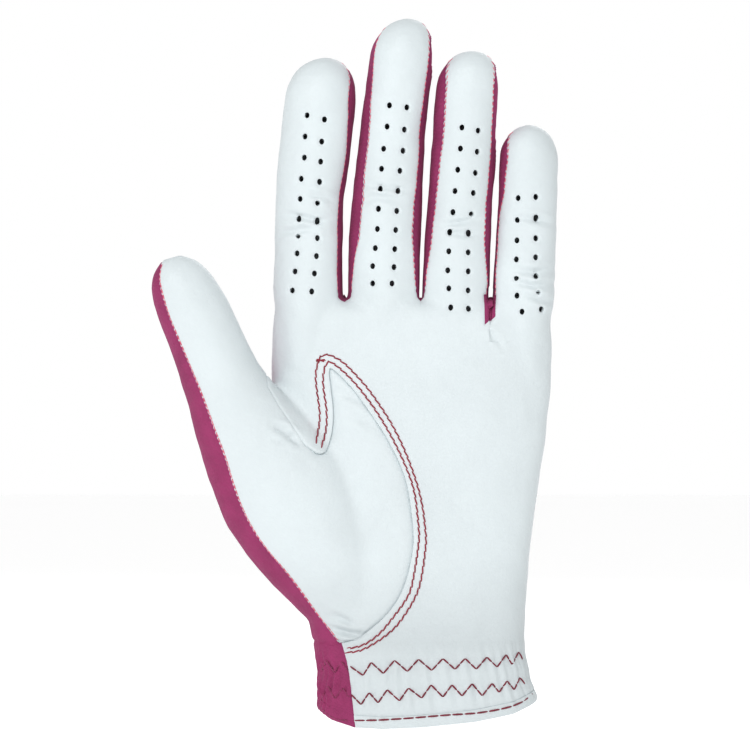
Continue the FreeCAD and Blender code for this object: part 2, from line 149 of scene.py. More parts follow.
def thumb_rings():
    rows = through_rows(thumb_rows, 4)
    rings = []
    for k, (x, y, z, half, depth) in enumerate(rows):
        along = Vector(rows[min(k + 1, len(rows) - 1)][:3]) - Vector(rows[max(k - 1, 0)][:3])
        side = Vector((0, 1, 0)).cross(along).normalized()
        out = along.cross(side).normalized()
        rings.append(np.array([Vector((x, y, z)) + side * (half * math.cos(t)) + out * (depth * math.sin(t))
                               for t in np.linspace(0, 2 * math.pi, 48, endpoint=False)]))
    return rings


def points_of(mesh):
    flat = np.empty(len(mesh.vertices) * 3)
    mesh.vertices.foreach_get("co", flat)
    return flat.reshape(-1, 3) / MM


def apply_modifier(piece, kind, **settings):
    modifier = piece.modifiers.new(kind, kind)
    for key, value in settings.items():
        setattr(modifier, key, value)
    bpy.context.view_layer.objects.active = piece
    bpy.ops.object.modifier_apply(modifier=modifier.name)


bpy.ops.object.select_all(action="DESELECT")
tubes = [closed_tube("palm", palm_rings()), closed_tube("thumb", thumb_rings())]
tubes += [closed_tube(name, finger_rings(rows)) for name, rows in finger_rows.items()]
for tube in tubes:
    tube.select_set(True)
form = tubes[0]
bpy.context.view_layer.objects.active = form
bpy.ops.object.join()
apply_modifier(form, "REMESH", mode="VOXEL", voxel_size=FORM_CELL * MM)
apply_modifier(form, "SMOOTH", factor=0.5, iterations=4)

points = points_of(form.data)
softness = np.zeros(len(points))
for x, z in web_points:
    softness = np.maximum(softness, np.exp(-1.2 * (((points[:, 0] - x) / 7) ** 2 + ((points[:, 2] - z + 2) / 9) ** 2)))
for x, z, wide, high in [(-20, 52, 16, 34), (-44, 88, 9, 12), (35, 112, 5, 9), (-45, 112, 5, 9)]:
    softness = np.maximum(softness, np.exp(-((points[:, 0] - x) / wide) ** 2 - ((points[:, 2] - z) / high) ** 2))
group = form.vertex_groups.new(name="softness")
for k in np.nonzero(softness > 0.02)[0]:
    group.add([int(k)], float(softness[k]), "REPLACE")
apply_modifier(form, "SMOOTH", factor=0.5, iterations=60, vertex_group="softness")

points = points_of(form.data)
for rows in finger_rows.values():
    levels = through_rows(rows[:-1], 6)
    middle = np.interp(points[:, 2], levels[:, 0], levels[:, 1])
    half = np.interp(points[:, 2], levels[:, 0], levels[:, 2])
    mine = np.abs(points[:, 0] - middle) < half + 0.2
    rise = np.clip((points[:, 2] - rows[1][0] - 4) / 8, 0, 1)
    widen = 1 + rise ** 2 * (3 - 2 * rise) * FINGERS_APART / (half - FINGERS_APART)
    points[:, 0] = np.where(mine, middle + (points[:, 0] - middle) * widen, points[:, 0])
form.data.vertices.foreach_set("co", (points * MM).ravel())
form.data.update()


# ---- Folds of the worn leather ---------------------------------------------------------------------------
# The leather is thin and keeps the folds of the hand that wears it: across the middle knuckles, beside the
# thumb's web and over the heel of the thumb. The elastics draw the wrist in and pucker the leather.
# line as (X, Z) from end to end, depth, width
palm_folds = [
    ([(-42.9, 144.4), (-37.7, 143.5), (-31.9, 142.0), (-28.8, 142.9)], 0.30, 0.75),
    ([(-36.0, 150.2), (-30.5, 149.0), (-28.2, 148.2)], 0.22, 0.8),
    ([(-44.1, 138.9), (-37.7, 139.5), (-33.0, 139.9)], 0.28, 0.8),
    ([(-18.9, 152.8), (-12.0, 151.6), (-5.2, 151.4)], 0.22, 0.8),
    ([(-19.7, 148.2), (-15.1, 149.1), (-8.0, 148.0)], 0.26, 0.9),
    ([(2.6, 140.9), (8.7, 141.8), (14.3, 143.0)], 0.28, 0.75),
    ([(4.1, 138.9), (10.0, 138.2), (14.2, 138.5)], 0.20, 0.75),
    ([(24.1, 143.8), (30.0, 142.6), (36.0, 141.5)], 0.30, 0.9),
    ([(23.5, 128.2), (30.0, 127.4), (36.0, 128.5)], 0.34, 0.9),
    ([(24.1, 124.4), (30.0, 123.4), (36.5, 124.1)], 0.32, 0.8),
    ([(27.0, 121.2), (31.5, 119.6), (35.7, 118.9)], 0.26, 0.8),
    ([(-45.2, 83.2), (-41.5, 81.4), (-37.4, 79.5)], 0.45, 1.0),
    ([(-44.0, 78.8), (-40.0, 79.4), (-36.5, 77.6)], 0.35, 1.0),
    ([(-27.4, 93.4), (-23.5, 91.6), (-19.7, 90.2)], 0.22, 1.1),
    ([(-23.5, 86.4), (-19.0, 84.6), (-15.7, 82.5)], 0.20, 1.3),
    ([(-28.6, 24.9), (-24.0, 23.6), (-19.4, 22.9)], 0.55, 0.9),
    ([(-29.5, 29.0), (-25.2, 27.2), (-20.5, 24.8)], 0.30, 1.0),
    ([(15.5, 111.8), (18.8, 109.5), (20.9, 105.0)], 0.15, 0.8),
]
palm_hollows = [(2.0, 21.5, 24.0, 4.2, 1.3), (2.0, 66.0, 15.0, 24.0, 1.1), (-12.0, 108.0, 30.0, 5.0, 0.35)]
elastic_rows = {"lower": (6.7, 0.107), "upper": (14.5, 0.077)}


def along_line(spots, line):
    """Distance of spots from a line of points, and the share of the line's length where each is nearest."""
    line = np.array(line, float)
    lengths = np.hypot(*np.diff(line, axis=0).T)
    passed = np.concatenate([[0], np.cumsum(lengths)])
    nearest, share = np.full(len(spots), 1e9), np.zeros(len(spots))
    for k, (start, end) in enumerate(zip(line, line[1:])):
        t = np.clip(((spots - start) @ (end - start)) / lengths[k] ** 2, 0, 1)
        distance = np.hypot(*(spots - start - t[:, None] * (end - start)).T)
        closer = distance < nearest
        nearest = np.where(closer, distance, nearest)
        share = np.where(closer, (passed[k] + t * lengths[k]) / passed[-1], share)
    return nearest, share


def row_height(row, x):
    middle, slope = elastic_rows[row]
    return middle + slope * x


def fold_depth(spots):
    """How far out of the smooth form the leather lies at each point of it."""
    x, y, z = spots.T
    flat = spots[:, [0, 2]]
    front = np.clip(0.5 - y / 10, 0, 1)
    out = np.zeros(len(spots))
    for line, depth, width in palm_folds:
        distance, share = along_line(flat, line)
        fade = np.sin(np.pi * np.clip(0.05 + 0.9 * share, 0, 1))
        profile = 0.5 * np.exp(-((distance - 2.2 * width) / width) ** 2) - np.exp(-(distance / width) ** 2)
        out += 2.2 * depth * front * fade * profile
    for hx, hz, wide, high, depth in palm_hollows:
        out -= depth * front * np.exp(-((x - hx) / wide) ** 2 - ((z - hz) / high) ** 2)
    turn = np.arctan2((y - 0.5) / 15, (x + 3) / 31)
    for row in elastic_rows:
        beside = z - row_height(row, x)
        out -= 0.55 * front * np.exp(-(beside / 1.9) ** 2)
    between = np.exp(-((z - 9 - 0.09 * x) / 8.5) ** 4)
    out += between * (0.4 + 0.6 * front) * (0.16 * np.sin(turn * 41 + 1.5 * np.sin(turn * 7)) + 0.12 * np.sin(turn * 67 + z * 0.25))
    slack = np.array([noise.noise(Vector(p) / 9) * 0.30 + noise.noise(Vector(p) / 3.5) * 0.09 for p in spots])
    closed_gap = np.clip((z - 111.4) / 3, 0, 1) * (z < 123)
    out -= front * closed_gap * (0.9 * np.exp(-((x - 17.4) / 0.7) ** 2) + 0.5 * np.exp(-((x - 17.5) / 2.0) ** 4))
    return out + slack


apply_modifier(form, "TRIANGULATE")


# ---- Seams -----------------------------------------------------------------------------------------------
# Every piece is cut to its own outline and sewn to its neighbours. The form's surface is divided along those
# seams, and along the lines where a piece passes from one moving part of the glove to the next.
thumb_inner_line = [(-46.6, 94.5), (-43.5, 89.0), (-39.7, 83.5), (-36.0, 77.6)]
thumb_seam = [(-32.8, 75.4), (-31.3, 75.2), (-29.9, 76.3), (-28.5, 81.2), (-28.1, 86.7), (-28.6, 92.2),
              (-29.3, 98.4), (-28.2, 99.4), (-22.9, 94.3), (-17.7, 87.3), (-12.2, 78.9), (-7.5, 68.7),
              (-5.6, 58.9), (-4.9, 49.9), (-6.1, 42.1), (-8.4, 35.1), (-12.2, 29.3), (-17.7, 24.2), (-22.0, 21.4), (-25.4, 20.5)]
thumb_fabric_line = [(-76.4, 140.0), (-77.2, 131.0), (-77.9, 124.5), (-75.5, 115.5), (-72.5, 107.9), (-68.7, 99.0), (-65.3, 90.5),
                     (-61.9, 81.2), (-58.9, 73.1), (-56.5, 65.0), (-53.7, 58.0), (-50.5, 52.0), (-46.4, 46.4),
                     (-41.8, 41.0), (-38.0, 36.0), (-35.2, 32.0), (-32.3, 27.9), (-29.3, 24.2), (-26.4, 20.5)]
thumb_back_line = [(-46.6, 94.5), (-44.0, 80.0), (-40.0, 62.0), (-36.0, 48.0), (-33.0, 38.0), (-29.0, 20.5)]
WRIST_FOLD = 20.5
cuff_seam = [(-14.0, -21.4), (-4.0, -21.75), (3.0, -22.4), (11.3, -23.4), (17.0, -24.6), (20.5, -25.6)]
cuff_edge = [(-60.0, 1.0), (-33.0, 1.0), (-29.0, -1.6), (-22.0, -3.6), (-14.0, -4.0), (-2.0, -3.4), (13.0, -1.9),
             (24.0, 0.2), (29.0, 2.4), (32.0, 4.0), (60.0, 4.0)]
HEM_HEIGHT = 3.4
SIDE_SEAM_BACK = 4.0
SLIT = (-6.0, -1.0, 44.0)


def signed_distance(spots, outline):
    """Distance of (X, Z) spots from a closed outline, negative inside it."""
    outline = np.array(outline, float)
    nearest = np.full(len(spots), 1e9)
    inside = np.zeros(len(spots), bool)
    for start, end in zip(outline, np.roll(outline, -1, axis=0)):
        t = np.clip(((spots - start) @ (end - start)) / max(((end - start) ** 2).sum(), 1e-9), 0, 1)
        nearest = np.minimum(nearest, np.hypot(*(spots - start - t[:, None] * (end - start)).T))
        if start[1] != end[1]:
            crosses = (start[1] > spots[:, 1]) != (end[1] > spots[:, 1])
            level = start[0] + (spots[:, 1] - start[1]) / (end[1] - start[1]) * (end[0] - start[0])
            inside ^= crosses & (spots[:, 0] < level)
    return np.where(inside, -nearest, nearest)


finger_names = list(finger_rows)
finger_lines = {name: through_rows(rows[:-1], 6) for name, rows in finger_rows.items()}


def finger_middle(name, z):
    line = finger_lines[name]
    return np.interp(z, line[:, 0], line[:, 1])


def gap_line(k, z):
    """X of the gap between finger k and the next one."""
    left, right = finger_lines[finger_names[k]], finger_lines[finger_names[k + 1]]
    return (np.interp(z, left[:, 0], left[:, 1] + left[:, 2]) + np.interp(z, right[:, 0], right[:, 1] - right[:, 2])) / 2


class Skin:
    """The form's surface as triangles. Each belongs to a panel and to a part of it."""

    def __init__(self, mesh):
        self.points = points_of(mesh)
        flat = np.empty(len(mesh.vertices) * 3)
        mesh.vertices.foreach_get("normal", flat)
        self.normals = flat.reshape(-1, 3)
        faces = np.empty(len(mesh.polygons) * 3, int)
        mesh.polygons.foreach_get("vertices", faces)
        self.faces = faces.reshape(-1, 3)
        self.panel = np.zeros(len(self.faces), int)
        self.part = np.zeros(len(self.faces), int)

    def find_normals(self):
        a, b, c = (self.points[self.faces[:, k]] for k in range(3))
        across = np.cross(b - a, c - a)
        total = np.zeros_like(self.points)
        for k in range(3):
            np.add.at(total, self.faces[:, k], across)
        self.normals = total / np.linalg.norm(total, axis=1)[:, None]

    def between(self, starts, ends, shares):
        """New points on edges, one for each different edge, and their numbers."""
        low, high = np.minimum(starts, ends), np.maximum(starts, ends)
        shares = np.where(starts < ends, shares, 1 - shares)
        _, first, numbers = np.unique(low * len(self.points) + high, return_index=True, return_inverse=True)
        a, b, t = low[first], high[first], shares[first][:, None]
        normals = self.normals[a] * (1 - t) + self.normals[b] * t
        self.points = np.vstack([self.points, self.points[a] * (1 - t) + self.points[b] * t])
        self.normals = np.vstack([self.normals, normals / np.linalg.norm(normals, axis=1)[:, None]])
        return len(self.points) - len(first) + numbers.ravel()

    def swap(self, gone, groups):
        """Triangles that are gone make way for groups of (new triangles, the old ones they come from)."""
        fresh = np.vstack([new for new, _ in groups])
        source = np.concatenate([old for _, old in groups])
        self.faces = np.vstack([self.faces[~gone], fresh])
        self.panel = np.concatenate([self.panel[~gone], self.panel[source]])
        self.part = np.concatenate([self.part[~gone], self.part[source]])

    def refine(self, chosen):
        """Edges whose two ends are chosen are halved."""
        marks = chosen[self.faces]
        count = marks.sum(axis=1)
        whole, side = np.nonzero(count == 3)[0], np.nonzero(count == 2)[0]
        a, b, c = self.faces[whole].T
        turn = (np.argmin(marks[side], axis=1)[:, None] + np.arange(3)) % 3
        p, q, r = self.faces[side[:, None], turn].T
        starts, ends = np.concatenate([a, b, c, q]), np.concatenate([b, c, a, r])
        middles = self.between(starts, ends, np.full(len(starts), 0.5))
        ab, bc, ca, qr = np.split(middles, np.cumsum([len(a)] * 3))
        stack = np.column_stack
        self.swap(count >= 2, [(stack([a, ab, ca]), whole), (stack([ab, b, bc]), whole), (stack([ca, bc, c]), whole),
                               (stack([ab, bc, ca]), whole), (stack([p, q, qr]), side), (stack([p, qr, r]), side)])

    def cut(self, level, chosen):
        """Chosen triangles are divided where a level given at the points is zero."""
        sign = np.where(np.abs(level) < 0.03, 0, np.sign(level)).astype(int)
        signs = sign[self.faces]
        crossed = chosen & (signs.min(axis=1) < 0) & (signs.max(axis=1) > 0)
        touching = crossed & (signs == 0).any(axis=1)
        one, two = np.nonzero(touching)[0], np.nonzero(crossed & ~touching)[0]
        turn = (np.argmax(signs[one] == 0, axis=1)[:, None] + np.arange(3)) % 3
        a, b, c = self.faces[one[:, None], turn].T
        lone = np.argmax(signs[two] == -signs[two].sum(axis=1)[:, None], axis=1)
        p, q, r = self.faces[two[:, None], (lone[:, None] + np.arange(3)) % 3].T
        starts, ends = np.concatenate([b, p, p]), np.concatenate([c, q, r])
        middles = self.between(starts, ends, level[starts] / (level[starts] - level[ends]))
        bc, pq, pr = np.split(middles, np.cumsum([len(b), len(p)]))
        stack = np.column_stack
        self.swap(crossed, [(stack([a, b, bc]), one), (stack([a, bc, c]), one), (stack([p, pq, pr]), two),
                            (stack([pq, q, r]), two), (stack([pq, r, pr]), two)])

    def divide(self, function, chosen):
        """Cuts chosen(faces) triangles where function(points) is zero, and tells which of them are inside."""
        self.cut(function(self.points), chosen())
        level = function(self.points)
        return chosen() & (level[self.faces].sum(axis=1) < 0)


skin = Skin(form.data)
for reach, width in ((3.0, 3.0), (1.6, 1.6)):
    close = np.zeros(len(skin.points), bool)
    for line, _, _ in palm_folds:
        close |= (along_line(skin.points[:, [0, 2]], line)[0] < reach) & (skin.points[:, 1] < 2)
    skin.refine(close)
skin.points += skin.normals * fold_depth(skin.points)[:, None]
for k, (closing, height) in enumerate([(0.3, 10.0), (0.88, 17.0), (0.92, 26.0)]):
    aside = skin.points[:, 0] - gap_line(k, skin.points[:, 2])
    above = np.maximum(skin.points[:, 2] - web_points[k][1], 0)
    pull = closing * np.exp(-(aside / 3.2) ** 2 - (above / height) ** 2) * (skin.points[:, 2] > web_points[k][1] - 6)
    skin.points[:, 0] -= aside * pull
skin.find_normals()
def finger_number(x, z):
    return sum((x > gap_line(k, z)).astype(int) for k in range(3))


def tip_share(x, z):
    """1 along a finger, falling to 0 where its seams run together at the tip."""
    number = finger_number(x, z)
    share = np.ones(len(x))
    for k, name in enumerate(finger_names):
        start, end = finger_rows[name][-2][0], finger_rows[name][-1][0]
        fall = 1 - (np.clip((z - start) / (end - start), 0, 1) / 0.93) ** 2
        share = np.where(number == k, np.maximum(fall, 0), share)
    return share


def scallop(z):
    return 0.11 * np.sin(2 * np.pi * z / 1.7)


def cuff_height(x):
    return np.interp(x, *np.array(cuff_edge).T)


def slit_distance(p, margin):
    left, right, top = SLIT
    middle, half = (left + right) / 2, (right - left) / 2
    round_top = np.hypot(p[:, 0] - middle, np.maximum(p[:, 2] - top + half, 0)) - half - margin
    return np.maximum(round_top, -p[:, 1])


def thumb_edge_y(z):
    return -11.5 + (140 - z) * 11.5 / 110


thumb_gap = [(-48.0, 104.0), (-52.0, 118.0), (-57.0, 140.0)]
thumb_leather_outline = [p for rows in (through_rows(thumb_fabric_line, 3), through_rows(thumb_seam, 3)[::-1],
                                        thumb_inner_line[::-1], thumb_gap) for p in rows]
fabric_side_outline = [*through_rows(thumb_fabric_line, 3), (-90, WRIST_FOLD), (-90, 140)]
thumb_back_outline = [*thumb_gap[::-1], *thumb_back_line, (-90, WRIST_FOLD), (-90, 140)]


def thumb_leather_zone(p):
    edge = signed_distance(p[:, [0, 2]], thumb_leather_outline)
    beside_fabric = signed_distance(p[:, [0, 2]], fabric_side_outline)
    return np.maximum(edge + np.where(beside_fabric < 1.0, scallop(p[:, 2] * 1.15), 0), p[:, 1] - thumb_edge_y(p[:, 2]))


def thumb_fabric_zone(p):
    behind = np.maximum(signed_distance(p[:, [0, 2]], thumb_back_outline), thumb_edge_y(p[:, 2]) - p[:, 1])
    return np.minimum(signed_distance(p[:, [0, 2]], fabric_side_outline), behind)


def cuff_fabric_zone(p):
    line_x = np.interp(p[:, 2], *np.array(cuff_seam).T)
    return np.maximum(p[:, 0] - line_x, p[:, 2] - WRIST_FOLD)


# height, then the Y of the strip's front edge on the finger at either side of the gap
strip_fronts = {
    "index_middle": [(115, -4.8, -4.2), (124, -4.8, -4.4), (137, -4.7, -6.5), (150, -4.6, -6.5), (164, -4.7, -6.0),
                     (177, -5.4, -5.3), (190, -5.7, -4.4)],
    "middle_ring": [(117, -4.8, -4.4), (124, -5.6, -4.9), (137, -6.2, -5.3), (150, -5.6, -5.5), (164, -4.8, -6.2),
                    (177, -4.8, -6.2), (190, -4.7, -5.6)],
    "ring_little": [(110, -4.6, -4.2), (124, -4.4, -4.2), (137, -5.5, -3.2), (144, -5.2, -3.2), (150, -5.0, -4.3),
                    (164, -5.0, -5.0), (184, -5.6, -5.0)],
}


closed_slot = (17.2, 1.55, 112.2, 121.0)


def strip_front(strip, z):
    heights, left, right = np.array(strip_fronts[strip]).T
    return np.interp(z, heights, left), np.interp(z, heights, right)


def strip_zone(k):
    left, right = finger_names[k:k + 2]
    def zone(p):
        x, y, z = p.T
        share = tip_share(x, z)
        front = np.where(x < gap_line(k, z), *strip_front(left + "_" + right, z)) * share + scallop(z)
        sides = np.maximum(finger_middle(left, z) - x, x - finger_middle(right, z))
        strip_side = np.max([front - y, y - SIDE_SEAM_BACK * share + scallop(z), sides, web_points[k][1] - 4 - z],
                            axis=0)
        if k < 2:
            return strip_side
        slot_x, half, low, high = closed_slot
        closed = np.max([np.abs(x - slot_x) - half, y, low + 0.8 * (x - slot_x + half) - z, z - high], axis=0)
        return np.minimum(strip_side, closed)
    return zone


def palm_zone(p):
    return p[:, 1] - SIDE_SEAM_BACK * np.where(p[:, 2] > 120, tip_share(p[:, 0], p[:, 2]), 1) + scallop(p[:, 2])


panel_zones = {
    "cut_away": lambda p: np.minimum(p[:, 2] - cuff_height(p[:, 0]), slit_distance(p, 0.0)),
    "binding": lambda p: slit_distance(p, 2.0),
    "cuff_fabric": lambda p: np.maximum(cuff_fabric_zone(p), cuff_height(p[:, 0]) + HEM_HEIGHT - p[:, 2]),
    "hem_fabric": cuff_fabric_zone,
    "hem": lambda p: p[:, 2] - cuff_height(p[:, 0]) - HEM_HEIGHT,
    "thumb_leather": thumb_leather_zone,
    "thumb_fabric": thumb_fabric_zone,
    "strip_index_middle": strip_zone(0),
    "strip_middle_ring": strip_zone(1),
    "strip_ring_little": strip_zone(2),
    "palm": palm_zone,
}
panel_numbers = {name: k + 1 for k, name in enumerate(panel_zones)}
panel_numbers["back"] = len(panel_numbers) + 1

for name in ("strip_index_middle", "strip_middle_ring", "strip_ring_little", "thumb_leather"):
    skin.refine(np.abs(panel_zones[name](skin.points)) < 0.8)
for name, zone in panel_zones.items():
    inside = skin.divide(zone, lambda: skin.panel == 0)
    skin.panel[inside] = panel_numbers[name]
skin.panel[skin.panel == 0] = panel_numbers["back"]
stray = np.isin(skin.panel, [panel_numbers["palm"], panel_numbers["back"]])
stray &= skin.points[skin.faces][:, :, 0].max(axis=1) < -49
skin.panel[stray] = panel_numbers["thumb_fabric"]

# distance along the finger from its root bend: where the root part starts and ends, and where the end part ends
part_ends = {"index": (-8.0, 8.2, 28.0), "middle": (-7.3, 8.2, 30.5), "ring": (-7.0, 7.4, 24.0),
             "little": (-7.8, 7.8, 25.5)}
THUMB_PART = (-10.0, 10.0)
joints = {j["name"]: j for j in frame["record"]["behaviour"]["joints"]}


def joint_place(name):
    """A bend's place and the direction of the finger there, in millimetres."""
    joint = joints[name]
    along = np.cross(joint["axis"], (0, 1, 0))
    return np.array(joint["pos_m"]) / MM, along / np.linalg.norm(along)


def past(p, name, distance):
    place, along = joint_place(name)
    return distance - (p - place) @ along


def of_finger(k):
    middle = skin.points[skin.faces].mean(axis=1)
    sewn = ~np.isin(skin.panel, [panel_numbers[n] for n in ("thumb_leather", "thumb_fabric", "cut_away")])
    return sewn & (middle[:, 2] > 104) & (finger_number(middle[:, 0], middle[:, 2]) == k)


for k, name in enumerate(finger_names):
    for step in (0, 1):
        level = part_ends[name][step]
        inside = skin.divide(lambda p: past(p, name + "_root_bend", level), lambda: of_finger(k))
        skin.part[inside] = 1 + 2 * k + step
for k in range(3):
    strip = panel_numbers["strip_" + finger_names[k] + "_" + finger_names[k + 1]]
    low = skin.points[skin.faces[skin.panel == strip]][:, :, 2].min()
    print("STRIP LOW", k, low, web_points[k])
    inside = skin.divide(lambda p: p[:, 2] - low - 2.4, lambda: skin.panel == strip)
    skin.part[inside] = 0
THUMB_END = 9
inside = skin.divide(lambda p: past(p, "thumb_bend", THUMB_PART[0]), lambda: np.isin(
    skin.panel, [panel_numbers["thumb_leather"], panel_numbers["thumb_fabric"]]) & (skin.points[skin.faces].mean(
        axis=1)[:, 0] < -46))
skin.part[inside] = THUMB_END


# ---- Leather ---------------------------------------------------------------------------------------------
# Thin white sheepskin: the palm with the finger fronts, the thumb, and the back with the finger backs. It is
# matt with a fine grain. Its cut edges roll over the fabric that they are sewn to. Punched holes let the
# fingers breathe.
LEATHER = 0.7
HOLE_HALF_WIDTH, HOLE_HALF_HEIGHT = 0.72, 0.86
hole_columns = {
    "index": [[(-35.7, 172.6), (-36.3, 166.5), (-36.5, 160.4), (-37.4, 154.3), (-37.7, 148.5), (-38.0, 142.8),
               (-38.3, 137.8), (-38.6, 132.8), (-39.2, 127.6), (-40.0, 122.1)],
              [(-30.5, 171.4), (-31.3, 165.0), (-31.6, 159.2), (-31.9, 153.4), (-32.5, 147.3), (-32.6, 142.1),
               (-32.5, 137.2), (-32.8, 132.0), (-33.4, 127.0), (-34.2, 121.8)]],
    "middle": [[(-11.9, 175.5), (-12.6, 169.4), (-13.6, 163.0), (-14.2, 157.2), (-14.5, 151.4), (-15.1, 145.6),
                (-15.4, 139.8), (-16.0, 134.3), (-16.8, 129.1), (-16.8, 124.1)],
               [(-6.7, 174.9), (-7.4, 168.5), (-7.8, 162.4), (-8.7, 156.6), (-9.3, 150.8), (-9.6, 145.0),
                (-9.9, 139.5), (-10.2, 134.0), (-10.4, 128.8), (-11.0, 124.1)]],
    "ring": [[(9.0, 169.1), (8.6, 163.0), (7.8, 156.9), (7.0, 150.8), (6.4, 144.7), (5.5, 138.9), (5.2, 133.4),
              (4.9, 127.9), (5.2, 122.7), (5.8, 117.2)],
             [(13.9, 168.2), (13.6, 162.1), (13.1, 156.0), (12.5, 150.2), (11.9, 144.1), (11.0, 138.6),
              (11.0, 133.1), (11.0, 127.6), (11.0, 122.1), (11.0, 116.9)]],
    "little": [[(25.2, 148.8), (25.0, 142.5), (24.9, 136.6), (24.7, 131.1), (24.7, 125.6), (24.9, 120.6),
                (26.4, 116.0)],
               [(30.5, 149.1), (30.5, 143.0), (30.5, 137.2), (30.5, 131.7), (30.5, 126.4), (31.2, 121.5),
                (32.2, 116.6)]],
}
seam_rows = {
    "inner": [(-31.6, 76.8), (-30.2, 81.2), (-29.9, 87.0), (-31.0, 95.7), (-30.2, 100.9), (-28.7, 101.5),
              (-23.2, 96.9), (-17.7, 90.2), (-12.8, 82.7), (-8.4, 74.2), (-4.9, 65.0), (-3.5, 54.5), (-3.5, 48.7),
              (-5.5, 36.8), (-7.5, 32.5), (-11.0, 27.8), (-14.8, 23.2), (-19.4, 20.0), (-23.2, 19.1), (-25.2, 19.0)],
    "outer": [(-33.1, 78.0), (-32.2, 82.7), (-31.9, 87.0), (-33.1, 96.3), (-32.5, 101.0), (-30.7, 103.8),
              (-25.8, 101.8), (-21.8, 98.0), (-17.1, 92.5), (-11.0, 83.2), (-6.4, 73.4), (-2.9, 62.6),
              (-1.5, 52.8), (-1.5, 47.6), (-3.5, 36.0), (-8.1, 27.8), (-11.3, 24.1), (-15.1, 21.2),
              (-19.7, 18.6), (-23.0, 17.9), (-24.7, 17.8)],
}


def paint(name, colour, roughness, **more):
    """A plain material, its node tree and its shader."""
    material = bpy.data.materials.new(name)
    material.use_nodes = True
    shader = material.node_tree.nodes["Principled BSDF"]
    shader.inputs["Base Color"].default_value = (*colour, 1)
    shader.inputs["Roughness"].default_value = roughness
    for key, value in more.items():
        shader.inputs[key.replace("_", " ")].default_value = value
    return material, material.node_tree, shader


def joined(tree, kind, inputs=(), **settings):
    """A node with its settings, and its inputs set to values or linked to other nodes' sockets."""
    node = tree.nodes.new(kind)
    for key, value in settings.items():
        setattr(node, key, value)
    for key, value in dict(inputs).items():
        if hasattr(value, "links"):
            tree.links.new(value, node.inputs[key])
        else:
            node.inputs[key].default_value = value
    return node


# painted shade: the leather's colour is darkened around the wrist, where its hollow lies in shade: share of the height
# from 5 mm below to 45 mm, lightness
WRIST_PAINTED_SHADE = [(0.02, 0.95), (0.12, 0.93), (0.28, 0.92), (0.44, 0.90), (0.51, 0.87), (0.70, 0.94), (1.0, 1.0)]


def leather_paint(name, colour, grain=1.0):
    material, tree, shader = paint(name, colour, 0.52)
    place = joined(tree, "ShaderNodeTexCoord").outputs["Object"]
    cloud = joined(tree, "ShaderNodeTexNoise", {"Vector": place, "Scale": 45.0, "Detail": 5.0})
    tone = joined(tree, "ShaderNodeMix", {"Factor": cloud.outputs["Fac"], "A": (*[c * 0.95 for c in colour], 1),
                                          "B": (*[min(c * 1.04, 1) for c in colour], 1)}, data_type="RGBA")
    tone.inputs[6].default_value = (*[c * 0.94 for c in colour], 1)
    tone.inputs[7].default_value = (*[min(c * 1.05, 1) for c in colour], 1)
    # painted shade: the colour is multiplied by a grey that deepens around the wrist, by height in the glove
    height = joined(tree, "ShaderNodeSeparateXYZ", {"Vector": place}).outputs["Z"]
    level = joined(tree, "ShaderNodeMapRange", {"Value": height, "From Min": -0.005, "From Max": 0.045})
    painted_shade_ramp = joined(tree, "ShaderNodeValToRGB", {"Fac": level.outputs["Result"]})
    ramp = painted_shade_ramp.color_ramp.elements
    for at, share in WRIST_PAINTED_SHADE[1:-1]:
        ramp.new(at)
    for stop, (at, share) in zip(ramp, WRIST_PAINTED_SHADE):
        stop.position = at
        stop.color = (share, share, share, 1)
    painted_shade_tone = joined(tree, "ShaderNodeMix", data_type="RGBA", blend_type="MULTIPLY")
    painted_shade_tone.inputs["Factor"].default_value = 1
    tree.links.new(tone.outputs[2], painted_shade_tone.inputs[6])
    tree.links.new(painted_shade_ramp.outputs["Color"], painted_shade_tone.inputs[7])
    tree.links.new(painted_shade_tone.outputs[2], shader.inputs["Base Color"])
    pebbles = joined(tree, "ShaderNodeTexVoronoi", {"Vector": place, "Scale": 1500.0}, feature="SMOOTH_F1")
    wrinkles = joined(tree, "ShaderNodeTexNoise", {"Vector": place, "Scale": 420.0, "Detail": 6.0, "Roughness": 0.6})
    coarse = joined(tree, "ShaderNodeBump", {"Height": wrinkles.outputs["Fac"], "Strength": 0.22 * grain,
                                             "Distance": 0.0006})
    fine = joined(tree, "ShaderNodeBump", {"Height": pebbles.outputs["Distance"], "Strength": 0.25 * grain,
                                           "Distance": 0.0002, "Normal": coarse.outputs["Normal"]})
    tree.links.new(fine.outputs["Normal"], shader.inputs["Normal"])
    rough = joined(tree, "ShaderNodeMapRange", {"Value": wrinkles.outputs["Fac"], "To Min": 0.46, "To Max": 0.62})
    tree.links.new(rough.outputs["Result"], shader.inputs["Roughness"])
    return material


white_leather = leather_paint("white_leather", (0.665, 0.715, 0.73))
outer_skins = {}


def seam_distance(panel):
    """Distance of every point from the panel's own cut edges, far away counting as 9 mm."""
    mine = skin.panel == panel
    touched, others = np.zeros(len(skin.points), bool), np.zeros(len(skin.points), bool)
    touched[skin.faces[mine]] = True
    others[skin.faces[~mine]] = True
    edge = np.nonzero(touched & others)[0]
    tree = KDTree(len(edge))
    for k, number in enumerate(edge):
        tree.insert(skin.points[number], k)
    tree.balance()
    distance = np.full(len(skin.points), 9.0)
    for number in np.nonzero(touched)[0]:
        distance[number] = min(tree.find(skin.points[number])[2], 9.0)
    return distance


